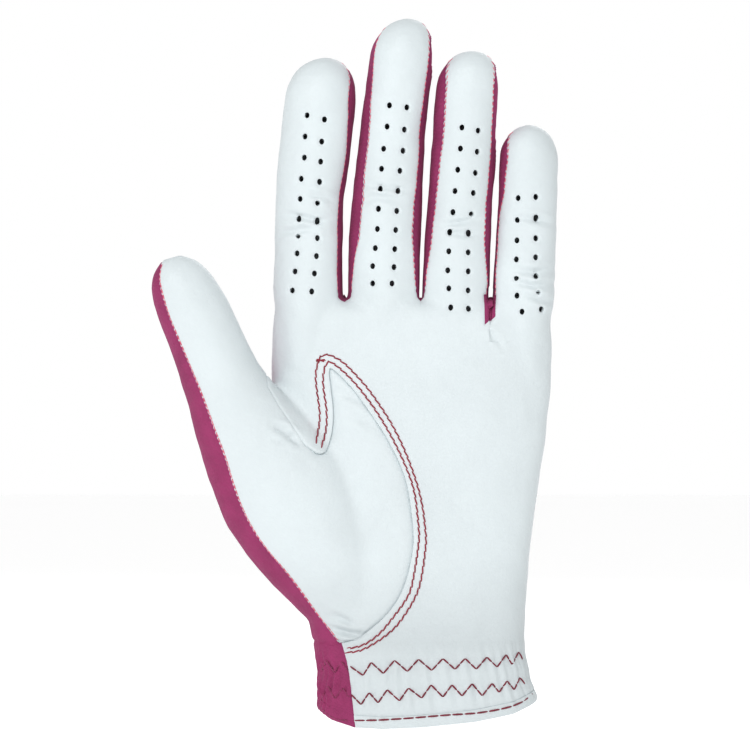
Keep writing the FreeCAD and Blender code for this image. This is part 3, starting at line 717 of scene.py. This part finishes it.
def skin_piece(name, chosen, lift, thickness, material):
    """A closed piece made from chosen triangles: an outer face lifted off the form, an inner face and its edges."""
    faces = skin.faces[chosen]
    used, local = np.unique(faces, return_inverse=True)
    local = local.reshape(-1, 3)
    outer = skin.points[used] + skin.normals[used] * lift[used][:, None]
    inner = outer - skin.normals[used] * thickness
    edges = np.vstack([local[:, [0, 1]], local[:, [1, 2]], local[:, [2, 0]]])
    keys = edges[:, 0] * len(used) + edges[:, 1]
    rim = edges[~np.isin(edges[:, 1] * len(used) + edges[:, 0], keys)]
    count = len(used)
    shapes = [local.tolist(), (local[:, ::-1] + count).tolist(),
              np.column_stack([rim[:, 1], rim[:, 0], rim[:, 0] + count, rim[:, 1] + count]).tolist()]
    mesh = bpy.data.meshes.new(name)
    mesh.from_pydata((np.vstack([outer, inner]) * MM).tolist(), [], [face for group in shapes for face in group])
    mesh.shade_smooth()
    mesh.set_sharp_from_angle(angle=math.radians(50))
    mesh.materials.append(material)
    piece = bpy.data.objects.new(name, mesh)
    bpy.context.collection.objects.link(piece)
    return piece


def rolled(distance, drop=0.28, reach=0.38):
    return -drop * np.exp(-(distance / reach) ** 2)


holes = np.array([spot for columns in hole_columns.values() for column in columns for spot in column])


def hole_zone(p):
    level = np.full(len(p), 9.0)
    near = np.nonzero((p[:, 1] < 0) & (p[:, 2] > 112))[0]
    for x, z in holes:
        scaled = np.hypot((p[near, 0] - x) / HOLE_HALF_WIDTH, (p[near, 2] - z) / HOLE_HALF_HEIGHT) - 1
        level[near] = np.minimum(level[near], scaled * HOLE_HALF_WIDTH)
    return level


skin.refine(hole_zone(skin.points) < 0.7)
skin.refine(hole_zone(skin.points) < 0.25)
inside = skin.divide(hole_zone, lambda: skin.panel == panel_numbers["palm"])
skin.panel[inside] = panel_numbers["cut_away"]

body_parts = {0: ("", "hand", None)}
for k, name in enumerate(finger_names):
    body_parts[1 + 2 * k] = (name + "_root", "hand", name + "_lower")
    body_parts[2 + 2 * k] = (name + "_end", name + "_lower", name + "_upper")
body_parts[THUMB_END] = ("thumb_end", "hand", "thumb_end")


def fit_to_bodies(piece, part):
    """The piece rides on one body; one that reaches across the joint between two is left unattached, its place baked
    into its mesh.
    """
    _, body, next_body = body_parts[part]
    if next_body is None:
        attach(piece, body)
    elif part == THUMB_END:
        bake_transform(piece)
    else:
        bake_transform(piece)


def panel_pieces(panel, lift, thickness, material, names):
    """The pieces of a panel, one for each part of the glove that it reaches."""
    mine = skin.panel == panel_numbers[panel]
    made = {}
    for part in np.unique(skin.part[mine]):
        if int(part) in names:
            piece = skin_piece(names[int(part)], mine & (skin.part == part), lift, thickness, material)
            fit_to_bodies(piece, int(part))
            made[int(part)] = piece
    faces = skin.faces[mine]
    outer = skin.points + skin.normals * lift[:, None]
    outer_skins[panel] = BVHTree.FromPolygons(outer.tolist(), faces.tolist())
    return made


flat_points = skin.points[:, [0, 2]]
front_side = skin.points[:, 1] < 0
from_thumb_seam = np.where(front_side, along_line(flat_points, through_rows(thumb_seam, 3))[0], 9.0)
palm_edge = seam_distance(panel_numbers["palm"])
palm_lift = rolled(palm_edge) + 0.30 * np.exp(-(from_thumb_seam / 4.6) ** 4)
for line in seam_rows.values():
    palm_lift -= 0.16 * front_side * np.exp(-(along_line(flat_points, through_rows(line, 3))[0] / 0.45) ** 2)
names = {0: "palm_leather_sheet"}
for part, (label, _, _) in body_parts.items():
    if 0 < part < THUMB_END:
        names[part] = label.replace("_root", "_front_root").replace("_end", "_front_end")
palm_pieces = panel_pieces("palm", palm_lift, LEATHER, white_leather, names)
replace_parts(palm_pieces[0], "palm_leather")

back_lift = rolled(seam_distance(panel_numbers["back"]))
names = {part: name.replace("front", "back").replace("palm", "back") for part, name in names.items()}
back_pieces = panel_pieces("back", back_lift, LEATHER, white_leather, names)
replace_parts(back_pieces[0], "back_leather")
for k, name in enumerate(finger_names):
    for step, level in ((0, "lower"), (1, "upper")):
        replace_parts(palm_pieces[1 + 2 * k + step], name + "_front_" + level)
        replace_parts(back_pieces[1 + 2 * k + step], name + "_back_" + level)

thumb_lift = rolled(seam_distance(panel_numbers["thumb_leather"])) - 0.45 * np.exp(-(from_thumb_seam / 1.6) ** 2)
thumb_pieces = panel_pieces("thumb_leather", thumb_lift, LEATHER, white_leather,
                            {0: "thumb_leather_ball", THUMB_END: "thumb_leather_end"})
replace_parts(thumb_pieces[0], "thumb_leather")
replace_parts(thumb_pieces[THUMB_END], "thumb_leather_tip")


# ---- Stretch fabric --------------------------------------------------------------------------------------
# Fine pink warp knit with a soft nap. It runs between the fingers and over the webs, covers the outer side of
# the thumb, and gathers on the thumb side of the cuff. It lies under the leather's edges.
FABRIC = 0.6


def knit_paint(name, colour):
    material, tree, shader = paint(name, colour, 0.82, Sheen_Weight=0.06, Sheen_Roughness=0.5)
    place = joined(tree, "ShaderNodeTexCoord").outputs["Object"]
    cloud = joined(tree, "ShaderNodeTexNoise", {"Vector": place, "Scale": 160.0, "Detail": 4.0})
    tone = joined(tree, "ShaderNodeMix", {"Factor": cloud.outputs["Fac"]}, data_type="RGBA")
    tone.inputs[6].default_value = (*[c * 0.78 for c in colour], 1)
    tone.inputs[7].default_value = (*[min(c * 1.22, 1) for c in colour], 1)
    tree.links.new(tone.outputs[2], shader.inputs["Base Color"])
    ribs = joined(tree, "ShaderNodeTexWave", {"Vector": place, "Scale": 480.0, "Distortion": 2.5, "Detail": 1.0,
                                              "Detail Scale": 2.0}, bands_direction="DIAGONAL")
    loops = joined(tree, "ShaderNodeTexVoronoi", {"Vector": place, "Scale": 2200.0})
    coarse = joined(tree, "ShaderNodeBump", {"Height": ribs.outputs["Fac"], "Strength": 0.35, "Distance": 0.0003})
    fine = joined(tree, "ShaderNodeBump", {"Height": loops.outputs["Distance"], "Strength": 0.4, "Distance": 0.0002,
                                           "Normal": coarse.outputs["Normal"]})
    tree.links.new(fine.outputs["Normal"], shader.inputs["Normal"])
    return material


pink_knit = knit_paint("pink_knit", (0.335, 0.053, 0.16))
fold_groove = -0.45 * np.exp(-((skin.points[:, 2] - WRIST_FOLD) / 0.7) ** 2) - 0.30

for k, (left, right) in enumerate(zip(finger_names, finger_names[1:])):
    strip = "strip_" + left + "_" + right
    names = {0: "web_strip_" + left + "_" + right}
    for number, side in ((k, "outer"), (k + 1, "thumb")):
        names[1 + 2 * number] = finger_names[number] + "_" + side + "_strip_root"
        names[2 + 2 * number] = finger_names[number] + "_" + side + "_strip_end"
    strips = panel_pieces(strip, np.full(len(skin.points), -0.38), FABRIC, pink_knit, names)
    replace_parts(strips[0], "web_" + left + "_" + right)
    for number, side in ((k, "outer_side"), (k + 1, "thumb_side")):
        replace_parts(strips[1 + 2 * number], finger_names[number] + "_strip_" + side + "_lower")
        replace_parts(strips[2 + 2 * number], finger_names[number] + "_strip_" + side + "_upper")

thumb_sides = panel_pieces("thumb_fabric", fold_groove, FABRIC, pink_knit,
                           {0: "thumb_fabric_side", THUMB_END: "thumb_fabric_end"})
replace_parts(thumb_sides[0], "thumb_side_fabric")
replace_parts(thumb_sides[THUMB_END], "thumb_side_fabric_tip")
turn = np.arctan2(skin.points[:, 1] / 15, (skin.points[:, 0] + 3) / 31)
gathers = 0.28 * np.sin(turn * 52 + 2.2 * np.sin(skin.points[:, 2] * 0.45)) * np.exp(-((skin.points[:, 2] - 10) / 8) ** 4)
cuff_sides = panel_pieces("cuff_fabric", fold_groove + gathers, FABRIC, pink_knit, {0: "cuff_fabric_side"})
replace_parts(cuff_sides[0], "cuff_side_fabric")


# ---- Hem and slit binding --------------------------------------------------------------------------------
# The cuff's edge is folded in and stitched down, so it is twice as thick. A folded strip of leather binds both
# edges of the opening on the back.
HEM = 1.5


def hem_lift(panel):
    edge = seam_distance(panel_numbers[panel])
    low = np.where(skin.points[:, 2] < cuff_height(skin.points[:, 0]) + 1.5, edge, 9.0)
    return 0.12 * np.clip((cuff_height(skin.points[:, 0]) + HEM_HEIGHT - skin.points[:, 2]) / 1.5, 0, 1) + rolled(
        low, 0.5, 0.6)


behind_slit = (skin.points[skin.faces].mean(axis=1) - (SLIT[0], 0, 0))[:, :2]
skin.part[(skin.panel == panel_numbers["hem"]) & (behind_slit[:, 0] < 0) & (behind_slit[:, 1] > 0)] = 10
body_parts[10] = ("hem_back", "hand", None)
hems = panel_pieces("hem", hem_lift("hem"), HEM, white_leather, {0: "cuff_hem", 10: "cuff_hem_back"})
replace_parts(hems[0], "hem_leather")
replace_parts(hems[10], "hem_back")
side_hem = panel_pieces("hem_fabric", hem_lift("hem_fabric") - 0.25, HEM, pink_knit, {0: "cuff_hem_side"})[0]
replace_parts(side_hem, "hem_side")
binding = panel_pieces("binding", 0.45 + rolled(seam_distance(panel_numbers["binding"]), 0.5, 0.7), 1.6,
                       white_leather, {0: "slit_edge_binding"})[0]
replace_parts(binding, "slit_binding")


# ---- Elastic in the cuff ---------------------------------------------------------------------------------
# Two woven elastic bands inside the palm side of the cuff. Each is stretched and zigzagged on, so that the cuff
# gathers when it lets go.
elastic_weave, tree, shader = paint("elastic_weave", (0.78, 0.79, 0.80), 0.7)
place = joined(tree, "ShaderNodeTexCoord").outputs["Object"]
cords = joined(tree, "ShaderNodeTexWave", {"Vector": place, "Scale": 200.0, "Distortion": 0.4}, bands_direction="Z")
picks = joined(tree, "ShaderNodeTexWave", {"Vector": place, "Scale": 420.0, "Distortion": 0.8})
weave = joined(tree, "ShaderNodeMath", {0: cords.outputs["Fac"], 1: picks.outputs["Fac"]}, operation="MULTIPLY")
bump = joined(tree, "ShaderNodeBump", {"Height": weave.outputs["Value"], "Strength": 0.7, "Distance": 0.0003})
tree.links.new(bump.outputs["Normal"], shader.inputs["Normal"])
ELASTIC, ELASTIC_HEIGHT = 0.9, 4.6
skin_middles = skin.points[skin.faces].mean(axis=1)
for name in elastic_rows:
    above = skin_middles[:, 2] - row_height(name, skin_middles[:, 0])
    within = (np.abs(above) < ELASTIC_HEIGHT / 2) & (skin_middles[:, 1] < -1)
    across = (skin_middles[:, 0] > -22.3) & (skin_middles[:, 0] < 26.3)
    band = skin_piece("elastic_band_" + name, within & across, np.full(len(skin.points), -LEATHER - 0.1), ELASTIC,
                      elastic_weave)
    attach(band, "hand")
    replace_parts(band, "elastic_" + name)


# ---- Seam threads ----------------------------------------------------------------------------------------
# Twisted polyester thread. Two rows of lockstitch follow the thumb's seam, zigzags hold the cuff's elastic, and
# a long straight stitch holds the hem. Close stitches in a lighter pink join the leather's edges to the fabric.
THREAD_RADIUS = 0.26
zigzag_points = {
    "upper": [(-23.2, 13.9), (-19.4, 11.3), (-17.1, 15.1), (-13.6, 11.9), (-10.4, 15.7), (-6.7, 12.5),
              (-3.5, 16.0), (0.3, 12.8), (3.5, 16.2), (7.0, 13.1), (9.9, 16.2), (13.1, 13.1), (16.2, 16.5),
              (19.1, 13.6), (21.8, 17.1), (23.5, 14.2), (25.5, 17.7), (26.7, 15.4)],
    "lower": [(-22.9, 5.8), (-20.0, 2.9), (-17.7, 6.4), (-15.1, 3.5), (-12.5, 7.3), (-9.0, 4.1), (-6.4, 7.8),
              (-2.6, 4.9), (0.1, 8.7), (3.5, 5.2), (6.1, 8.7), (9.0, 5.5), (11.9, 9.0), (14.8, 5.5), (17.7, 9.0),
              (19.7, 6.4), (22.0, 9.6), (24.1, 7.0), (25.8, 10.4), (27.3, 8.4)],
}
pink_zigzag_points = {
    "upper": [(-31.4, 12.3), (-30.0, 15.4), (-27.6, 11.9), (-25.6, 15.2), (-23.6, 12.4)],
    "lower": [(-31.2, 4.6), (-29.6, 8.0), (-27.5, 4.4), (-25.2, 7.6), (-23.4, 5.0)],
}
hem_stitch_line = [(-22.3, -1.7), (-15.0, -1.4), (-7.2, -0.9), (0.0, -0.3), (6.5, 0.2), (13.3, 0.6), (20.6, 1.7),
                   (25.4, 3.0), (28.2, 4.5), (29.7, 5.7)]
pink_hem_line = [(-31.6, 1.6), (-29.0, -0.6), (-26.0, -1.6), (-23.6, -1.7)]


def thread_paint(name, colour):
    material, tree, shader = paint(name, colour, 0.45, Sheen_Weight=0.2)
    place = joined(tree, "ShaderNodeTexCoord").outputs["Object"]
    twist = joined(tree, "ShaderNodeTexWave", {"Vector": place, "Scale": 900.0, "Distortion": 1.0},
                   bands_direction="DIAGONAL")
    bump = joined(tree, "ShaderNodeBump", {"Height": twist.outputs["Fac"], "Strength": 0.6, "Distance": 0.0002})
    tree.links.new(bump.outputs["Normal"], shader.inputs["Normal"])
    shade = joined(tree, "ShaderNodeTexNoise", {"Vector": place, "Scale": 700.0})
    tone = joined(tree, "ShaderNodeMix", {"Factor": shade.outputs["Fac"]}, data_type="RGBA")
    tone.inputs[6].default_value = (*[c * 0.7 for c in colour], 1)
    tone.inputs[7].default_value = (*[min(c * 1.3, 1) for c in colour], 1)
    tree.links.new(tone.outputs[2], shader.inputs["Base Color"])
    return material


red_thread = thread_paint("red_thread", (0.33, 0.030, 0.055))
maroon_thread = thread_paint("maroon_thread", (0.235, 0.022, 0.045))
pink_thread = thread_paint("pink_thread", (0.72, 0.15, 0.22))
deep_pink_thread = thread_paint("deep_pink_thread", (0.29, 0.042, 0.125))
STITCH_RINGS = [(0.0, 0.5, -0.25), (0.14, 0.9, 0.2), (0.5, 1.0, 0.5), (0.86, 0.9, 0.2), (1.0, 0.5, -0.25)]
STITCH_SIDES = 6


def stitches(name, starts, ends, normals, radius, material):
    """Short raised stitches, each from one point on the leather to another and dipping in at its ends."""
    starts, ends, normals = np.array(starts), np.array(ends), np.array(normals)
    sideways = np.cross(ends - starts, normals)
    sideways /= np.linalg.norm(sideways, axis=1)[:, None]
    rings = []
    for along, size, height in STITCH_RINGS:
        middle = starts + (ends - starts) * along + normals * radius * height
        for turn in np.arange(STITCH_SIDES) * 2 * math.pi / STITCH_SIDES:
            rings.append(middle + (sideways * math.cos(turn) + normals * math.sin(turn)) * radius * size)
    points = np.stack(rings, axis=1)
    count, each = points.shape[:2]
    shape = []
    for ring in range(len(STITCH_RINGS) - 1):
        for side in range(STITCH_SIDES):
            a, b = ring * STITCH_SIDES + side, ring * STITCH_SIDES + (side + 1) % STITCH_SIDES
            shape.append((b, a, a + STITCH_SIDES, b + STITCH_SIDES))
    caps = [tuple(range(STITCH_SIDES)), tuple(range(each - 1, each - 1 - STITCH_SIDES, -1))]
    faces = [tuple(corner + k * each for corner in face) for k in range(count) for face in shape + caps]
    mesh = bpy.data.meshes.new(name)
    mesh.from_pydata((points.reshape(-1, 3) * MM).tolist(), [], faces)
    mesh.validate()
    mesh.shade_smooth()
    mesh.materials.append(material)
    piece = bpy.data.objects.new(name, mesh)
    bpy.context.collection.objects.link(piece)
    return piece


def surface_hit(start, direction, panels):
    """The nearest place on some panels along a line, with the normal there."""
    best = None
    for panel in panels:
        place, normal, _, distance = outer_skins[panel].ray_cast(Vector(start), Vector(direction))
        if place is not None and (best is None or distance < best[2]):
            best = (np.array(place), np.array(normal), distance)
    return best


def facing(x, z, panels, side=-1):
    return surface_hit((x, 60 * side, z), (0, -side, 0), panels)


def evenly(line, pitch, gap=0.16):
    """Pairs of points along a line: the ends of the stitches, with a small gap between one and the next."""
    line = np.array(line, float)
    length = np.concatenate([[0], np.cumsum(np.linalg.norm(np.diff(line, axis=0), axis=1))])
    count = max(round(length[-1] / pitch), 1)
    marks = np.linspace(0, length[-1], count + 1)
    at = lambda marks: np.column_stack([np.interp(marks, length, line[:, k]) for k in range(2)])
    return at(marks[:-1] + gap / 2), at(marks[1:] - gap / 2)


def row_of_stitches(name, pairs, panels, radius, material, side=-1):
    rows = []
    for start, end in pairs:
        first, last = facing(*start, panels, side), facing(*end, panels, side)
        if first and last:
            rows.append((first[0], last[0], first[1] + last[1]))
    starts, ends, normals = zip(*rows)
    normals = np.array(normals)
    normals /= np.linalg.norm(normals, axis=1)[:, None]
    return stitches(name, starts, ends, normals, radius, material)


def slanting(pairs, amount):
    """Each stitch turned a little to the same side, as a lockstitch lies."""
    turned = []
    for start, end in pairs:
        start, end = np.array(start), np.array(end)
        across = np.array([(end - start)[1], -(end - start)[0]]) * amount
        turned.append((start + across, end - across))
    return turned


palm_side = ["palm", "thumb_leather", "hem", "cuff_fabric", "thumb_fabric", "hem_fabric"]
for name, line in seam_rows.items():
    pairs = slanting(list(zip(*evenly(through_rows(line, 4), 2.15, -0.3))), 0.09)
    row = row_of_stitches("thumb_seam_" + name, pairs, palm_side, THREAD_RADIUS * 0.85, red_thread)
    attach(row, "hand")
    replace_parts(row, "thread_thumb_" + name)
for name, corners in zigzag_points.items():
    legs = [pair for a, b in zip(corners, corners[1:]) for pair in zip(*evenly([a, b], 2.1, 0.1))]
    row = row_of_stitches("cuff_zigzag_" + name, legs, palm_side, THREAD_RADIUS * 0.92, maroon_thread)
    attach(row, "hand")
    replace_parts(row, "thread_zigzag_" + name)
    corners = pink_zigzag_points[name]
    legs = [pair for a, b in zip(corners, corners[1:]) for pair in zip(*evenly([a, b], 2.1, 0.1))]
    row = row_of_stitches("side_zigzag_" + name, legs, palm_side, THREAD_RADIUS * 0.92, deep_pink_thread)
    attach(row, "hand")
knot = [((-33.0, 101.6), (-30.4, 102.2)), ((-32.8, 102.3), (-30.6, 101.5)), ((-33.1, 102.0), (-30.2, 101.9))]
row = row_of_stitches("thumb_seam_knot", knot, palm_side, THREAD_RADIUS * 0.8, red_thread)
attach(row, "hand")
row = row_of_stitches("hem_stitch", list(zip(*evenly(through_rows(hem_stitch_line, 3), 3.5, 0.35))), palm_side,
                      THREAD_RADIUS, maroon_thread)
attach(row, "hand")
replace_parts(row, "thread_hem")
row = row_of_stitches("side_hem_stitch", list(zip(*evenly(through_rows(pink_hem_line, 3), 3.2))), palm_side,
                      THREAD_RADIUS, deep_pink_thread)
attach(row, "hand")

# the thumb's edge seam
edge = np.array(through_rows(thumb_fabric_line, 4))
edge = edge[(edge[:, 1] > WRIST_FOLD)]
edge = edge + (0.4, 0.1)
pairs = [pair for pair in zip(*evenly(edge, 1.75)) if facing(*pair[0], ["thumb_leather"])]
split_place, split_along = joint_place("thumb_bend")
split_along, split_place = split_along[[0, 2]], split_place[[0, 2]]
for part, name in ((0, "thumb_edge_stitch"), (THUMB_END, "thumb_end_edge_stitch")):
    beyond = [((np.array(start) - split_place) @ split_along > THUMB_PART[0]) == (part == THUMB_END)
              for start, _ in pairs]
    mine = [pair for pair, chosen in zip(pairs, beyond) if chosen]
    row = row_of_stitches(name, mine, ["thumb_leather"], 0.16, pink_thread)
    fit_to_bodies(row, part)

# the fingers' edge seams, on both edges of every strip
EDGE_PITCH = 1.7
for k, name in enumerate(finger_names):
    root, along = joint_place(name + "_root_bend")
    rows = {1 + 2 * k: [], 2 + 2 * k: []}
    for gap, side in ((k - 1, 1), (k, -1)):
        if not 0 <= gap < 3:
            continue
        strip = finger_names[gap] + "_" + finger_names[gap + 1]
        low, high = web_points[gap][1] + 2.5, finger_rows[name][-1][0] - 2.5
        for panel in ("palm", "back"):
            for z in np.arange(low, high, EDGE_PITCH):
                share = tip_share(np.array([finger_middle(name, z)]), np.array([z]))[0]
                edge_y = strip_front(strip, z)[0 if side < 0 else 1] - 0.22 if panel == "palm" else SIDE_SEAM_BACK + 0.35
                spots = []
                for height in (z + 0.2, z + EDGE_PITCH - 0.25):
                    start = (gap_line(gap, height), edge_y * share, height)
                    spots.append(surface_hit(start, (side, 0, 0), [panel]))
                near = all(spots) and np.linalg.norm(spots[0][0] - spots[1][0]) < 2.4 and spots[0][2] < 9
                if share > 0.12 and near:
                    part = 1 + 2 * k + ((spots[0][0] - root) @ along > part_ends[name][1])
                    rows[part].append((spots[0][0], spots[1][0], spots[0][1]))
    for part, found in rows.items():
        row = stitches(body_parts[part][0] + "_edge_stitch", *zip(*found), 0.15, pink_thread)
        fit_to_bodies(row, part)


# ---- Closure ---------------------------------------------------------------------------------------------
# A leather tab on the back of the cuff. It is sewn down beside the opening, crosses it, and is held by moulded
# hooks that press into a looped patch. Its free end is rounded.
TAB_LEFT, TAB_RIGHT, ANCHOR_LEFT = -9.0, 20.0, -19.0
TAB_LOW, TAB_HIGH, TAB_CORNER = 6.0, 30.0, 9.0
CLOSURE_STEP = 0.5
closure_spots = []
for x in np.arange(ANCHOR_LEFT - 1, TAB_RIGHT + 1.5, 1.0):
    for z in (8.0, 13.0, 18.0, 23.0, 28.0):
        hit = surface_hit((x, 60, z), (0, -1, 0), ["back", "binding"])
        if hit:
            closure_spots.append((x, z, hit[0][1]))
closure_spots = np.array(closure_spots)
sx, sz, sy = closure_spots.T
powers = lambda x, z: np.stack([x * 0 + 1, x, x ** 2, x ** 3, x ** 4, z, x * z], axis=-1)
closure_curve = np.linalg.lstsq(powers(sx / 20, sz / 20), sy, rcond=None)[0]


def closure_height(x, z):
    return powers(np.asarray(x, float) / 20, np.asarray(z, float) / 20) @ closure_curve


def rounded_layer(name, left, right, low, high, corner, bottom, top, material, roll=0.35):
    """A thin layer that lies along the back of the cuff, with its right-hand end rounded."""
    columns = []
    count = max(int((right - left) / CLOSURE_STEP), 4)
    bends = np.sin(np.linspace(0, math.pi / 2, count + 1))
    xs = left + (right - left) * (bends * 0.45 + np.linspace(0, 1, count + 1) * 0.55)
    rows = max(int((high - low) / CLOSURE_STEP), 4)
    for x in xs:
        into = min(max(x - (right - corner), 0), corner * 0.998)
        cut = corner - math.sqrt(corner ** 2 - into ** 2)
        columns.append([(x, low + cut + (high - low - 2 * cut) * r / rows) for r in range(rows + 1)])
    grid = np.array(columns)
    outline = np.concatenate([grid[:, 0], grid[:, -1], grid[0], grid[-1]])
    flat = grid.reshape(-1, 2)
    edge = np.min(np.linalg.norm(flat[:, None] - outline[None], axis=2), axis=1)
    sink = roll * np.exp(-(edge / 0.5) ** 2)
    base = closure_height(flat[:, 0], flat[:, 1])
    upper = np.column_stack([flat[:, 0], base + top - sink, flat[:, 1]])
    lower = np.column_stack([flat[:, 0], base + bottom + sink * 0.3, flat[:, 1]])
    wide, total = rows + 1, len(flat)
    faces = []
    for c in range(len(xs) - 1):
        for r in range(rows):
            a, b = c * wide + r, (c + 1) * wide + r
            faces += [(a, a + 1, b + 1, b), (a + total, b + total, b + total + 1, a + total + 1)]
    ring = ([c * wide for c in range(len(xs))] + [total - wide + r for r in range(1, wide)] +
            [c * wide + rows for c in range(len(xs) - 2, -1, -1)] + [r for r in range(rows - 1, 0, -1)])
    for a, b in zip(ring, ring[1:] + ring[:1]):
        faces.append((a, b, b + total, a + total))
    mesh = bpy.data.meshes.new(name)
    mesh.from_pydata((np.vstack([upper, lower]) * MM).tolist(), [], faces)
    mesh.shade_smooth()
    mesh.set_sharp_from_angle(angle=math.radians(50))
    mesh.materials.append(material)
    piece = bpy.data.objects.new(name, mesh)
    bpy.context.collection.objects.link(piece)
    return piece


hook_plastic, tree, shader = paint("hook_plastic", (0.70, 0.71, 0.73), 0.35)
place = joined(tree, "ShaderNodeTexCoord").outputs["Object"]
hooks_wave = joined(tree, "ShaderNodeTexVoronoi", {"Vector": place, "Scale": 1400.0, "Randomness": 0.15})
bump = joined(tree, "ShaderNodeBump", {"Height": hooks_wave.outputs["Distance"], "Strength": 1.0, "Distance": 0.0006})
tree.links.new(bump.outputs["Normal"], shader.inputs["Normal"])
loop_pile, tree, shader = paint("loop_pile", (0.76, 0.77, 0.78), 0.95, Sheen_Weight=0.5)
place = joined(tree, "ShaderNodeTexCoord").outputs["Object"]
fuzz = joined(tree, "ShaderNodeTexNoise", {"Vector": place, "Scale": 1800.0, "Detail": 8.0, "Roughness": 0.8})
bump = joined(tree, "ShaderNodeBump", {"Height": fuzz.outputs["Fac"], "Strength": 1.0, "Distance": 0.0008})
tree.links.new(bump.outputs["Normal"], shader.inputs["Normal"])

closure_layers = [
    ("tab_leather", TAB_LEFT, TAB_RIGHT, TAB_LOW, TAB_HIGH, TAB_CORNER, 2.4, 3.3, white_leather, "closure_tab",
     "white_leather", "closure"),
    ("tab_lining", TAB_LEFT, TAB_RIGHT - 1.2, TAB_LOW + 1.2, TAB_HIGH - 1.2, TAB_CORNER - 1.2, 2.0, 2.4, white_leather,
     "closure_lining", "white_leather", "closure"),
    ("tab_hooks", 4.5, TAB_RIGHT - 2.4, TAB_LOW + 2.4, TAB_HIGH - 2.4, TAB_CORNER - 2.4, 1.2, 2.0, hook_plastic,
     "closure_hooks", "hook_plastic", "closure"),
    ("loop_patch", 3.0, TAB_RIGHT - 1.2, TAB_LOW + 1.2, TAB_HIGH - 1.2, TAB_CORNER - 1.2, -0.5, 1.1, loop_pile,
     "closure_loops", "loop_pile", "hand"),
    ("tab_anchor", ANCHOR_LEFT, TAB_LEFT, TAB_LOW, TAB_HIGH, 0.6, -0.6, 3.3, white_leather, "closure_anchor",
     "white_leather", "hand"),
]
for name, left, right, low, high, corner, bottom, top, material, node, slot, body in closure_layers:
    layer = rounded_layer(name, left, right, low, high, corner, bottom, top, material)
    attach(layer, body)
    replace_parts(layer, node)


def closure_stitching(name, line, top, pitch, body):
    pairs = evenly(line, pitch)
    ends = [np.column_stack([p[:, 0], closure_height(p[:, 0], p[:, 1]) + top, p[:, 1]]) for p in pairs]
    row = stitches(name, *ends, np.tile((0.0, 1.0, 0.0), (len(ends[0]), 1)), 0.24, pink_thread)
    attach(row, body)
    return row


inset = 2.2
turns = np.linspace(-math.pi / 2, math.pi / 2, 24)
bow = [(TAB_RIGHT - TAB_CORNER + (TAB_CORNER - inset) * math.cos(t),
        (TAB_LOW + TAB_CORNER if t < 0 else TAB_HIGH - TAB_CORNER) + (TAB_CORNER - inset) * math.sin(t)) for t in turns]
tab_line = [(TAB_LEFT + 0.6, TAB_LOW + inset), *bow, (TAB_LEFT + 0.6, TAB_HIGH - inset)]
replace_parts(closure_stitching("tab_stitching", tab_line, 3.3, 2.1, "closure"), "closure_thread")
anchor_line = [(TAB_LEFT - 0.8, TAB_LOW + inset), (ANCHOR_LEFT + 1.8, TAB_LOW + inset),
               (ANCHOR_LEFT + 1.8, TAB_HIGH - inset), (TAB_LEFT - 0.8, TAB_HIGH - inset)]
closure_stitching("anchor_stitching", anchor_line, 3.3, 2.1, "hand")
closure_stitching("anchor_cross_stitching", [(TAB_LEFT - 1.4, TAB_LOW + inset), (TAB_LEFT - 1.4, TAB_HIGH - inset)],
                  3.3, 2.1, "hand")


# ---- Picture ---------------------------------------------------------------------------------------------
# A plain pale floor under the glove, soft studio light, and a long lens square on to the palm.
bpy.data.objects.remove(form)

floor_mesh = bpy.data.meshes.new("floor")
FLOOR_HALF, FLOOR_HEIGHT = 4.0, -0.03
corners = [(-1, -1), (1, -1), (1, 1), (-1, 1)]
floor_mesh.from_pydata([(x * FLOOR_HALF, y * FLOOR_HALF, FLOOR_HEIGHT) for x, y in corners], [], [(0, 1, 2, 3)])
floor = bpy.data.objects.new("floor", floor_mesh)
bpy.context.collection.objects.link(floor)
floor_mesh.materials.append(paint("floor_paper", (0.96, 0.96, 0.96), 0.9, Emission_Strength=0.24,
                                    Emission_Color=(1, 1, 1, 1))[0])

scene = bpy.context.scene
scene.view_settings.view_transform = "Standard"
scene.view_settings.gamma = 0.8
world = bpy.data.worlds.new("studio")
scene.world = world
world.use_nodes = True
sky = joined(world.node_tree, "ShaderNodeTexCoord")
direction = joined(world.node_tree, "ShaderNodeSeparateXYZ", {"Vector": sky.outputs["Generated"]})
ahead = joined(world.node_tree, "ShaderNodeMath", {0: direction.outputs["Y"]}, operation="ABSOLUTE")
glow = joined(world.node_tree, "ShaderNodeMapRange", {"Value": ahead.outputs["Value"], "From Min": 0.45, "From Max": 0.95,
                                                      "To Min": 0.70, "To Max": 1.0}, interpolation_type="SMOOTHSTEP")
world.node_tree.links.new(glow.outputs["Result"], world.node_tree.nodes["Background"].inputs["Strength"])
world.node_tree.nodes["Background"].inputs["Color"].default_value = (1, 1, 1, 1)

middle = Vector((-0.016, 0.0, 0.0977))
for name, place, size, power in [("key", (-0.40, -1.1, 0.75), 0.45, 5.6), ("back_key", (0.45, 1.1, 0.8), 0.6, 3.0)]:
    light = bpy.data.lights.new(name, "AREA")
    light.size = size
    light.energy = power
    lamp = bpy.data.objects.new(name, light)
    lamp.location = place
    lamp.rotation_euler = (middle - lamp.location).to_track_quat("-Z", "Y").to_euler()
    bpy.context.collection.objects.link(lamp)

camera_data = bpy.data.cameras.new("camera")
camera = bpy.data.objects.new("camera", camera_data)
bpy.context.collection.objects.link(camera)
scene.camera = camera
CAMERA_DISTANCE = 1.5
PICTURE_WIDTH = 0.2175
camera_data.lens = camera_data.sensor_width * CAMERA_DISTANCE / PICTURE_WIDTH
camera.location = middle + Vector((0, -CAMERA_DISTANCE, 0))
camera.rotation_euler = (math.radians(90), 0, 0)
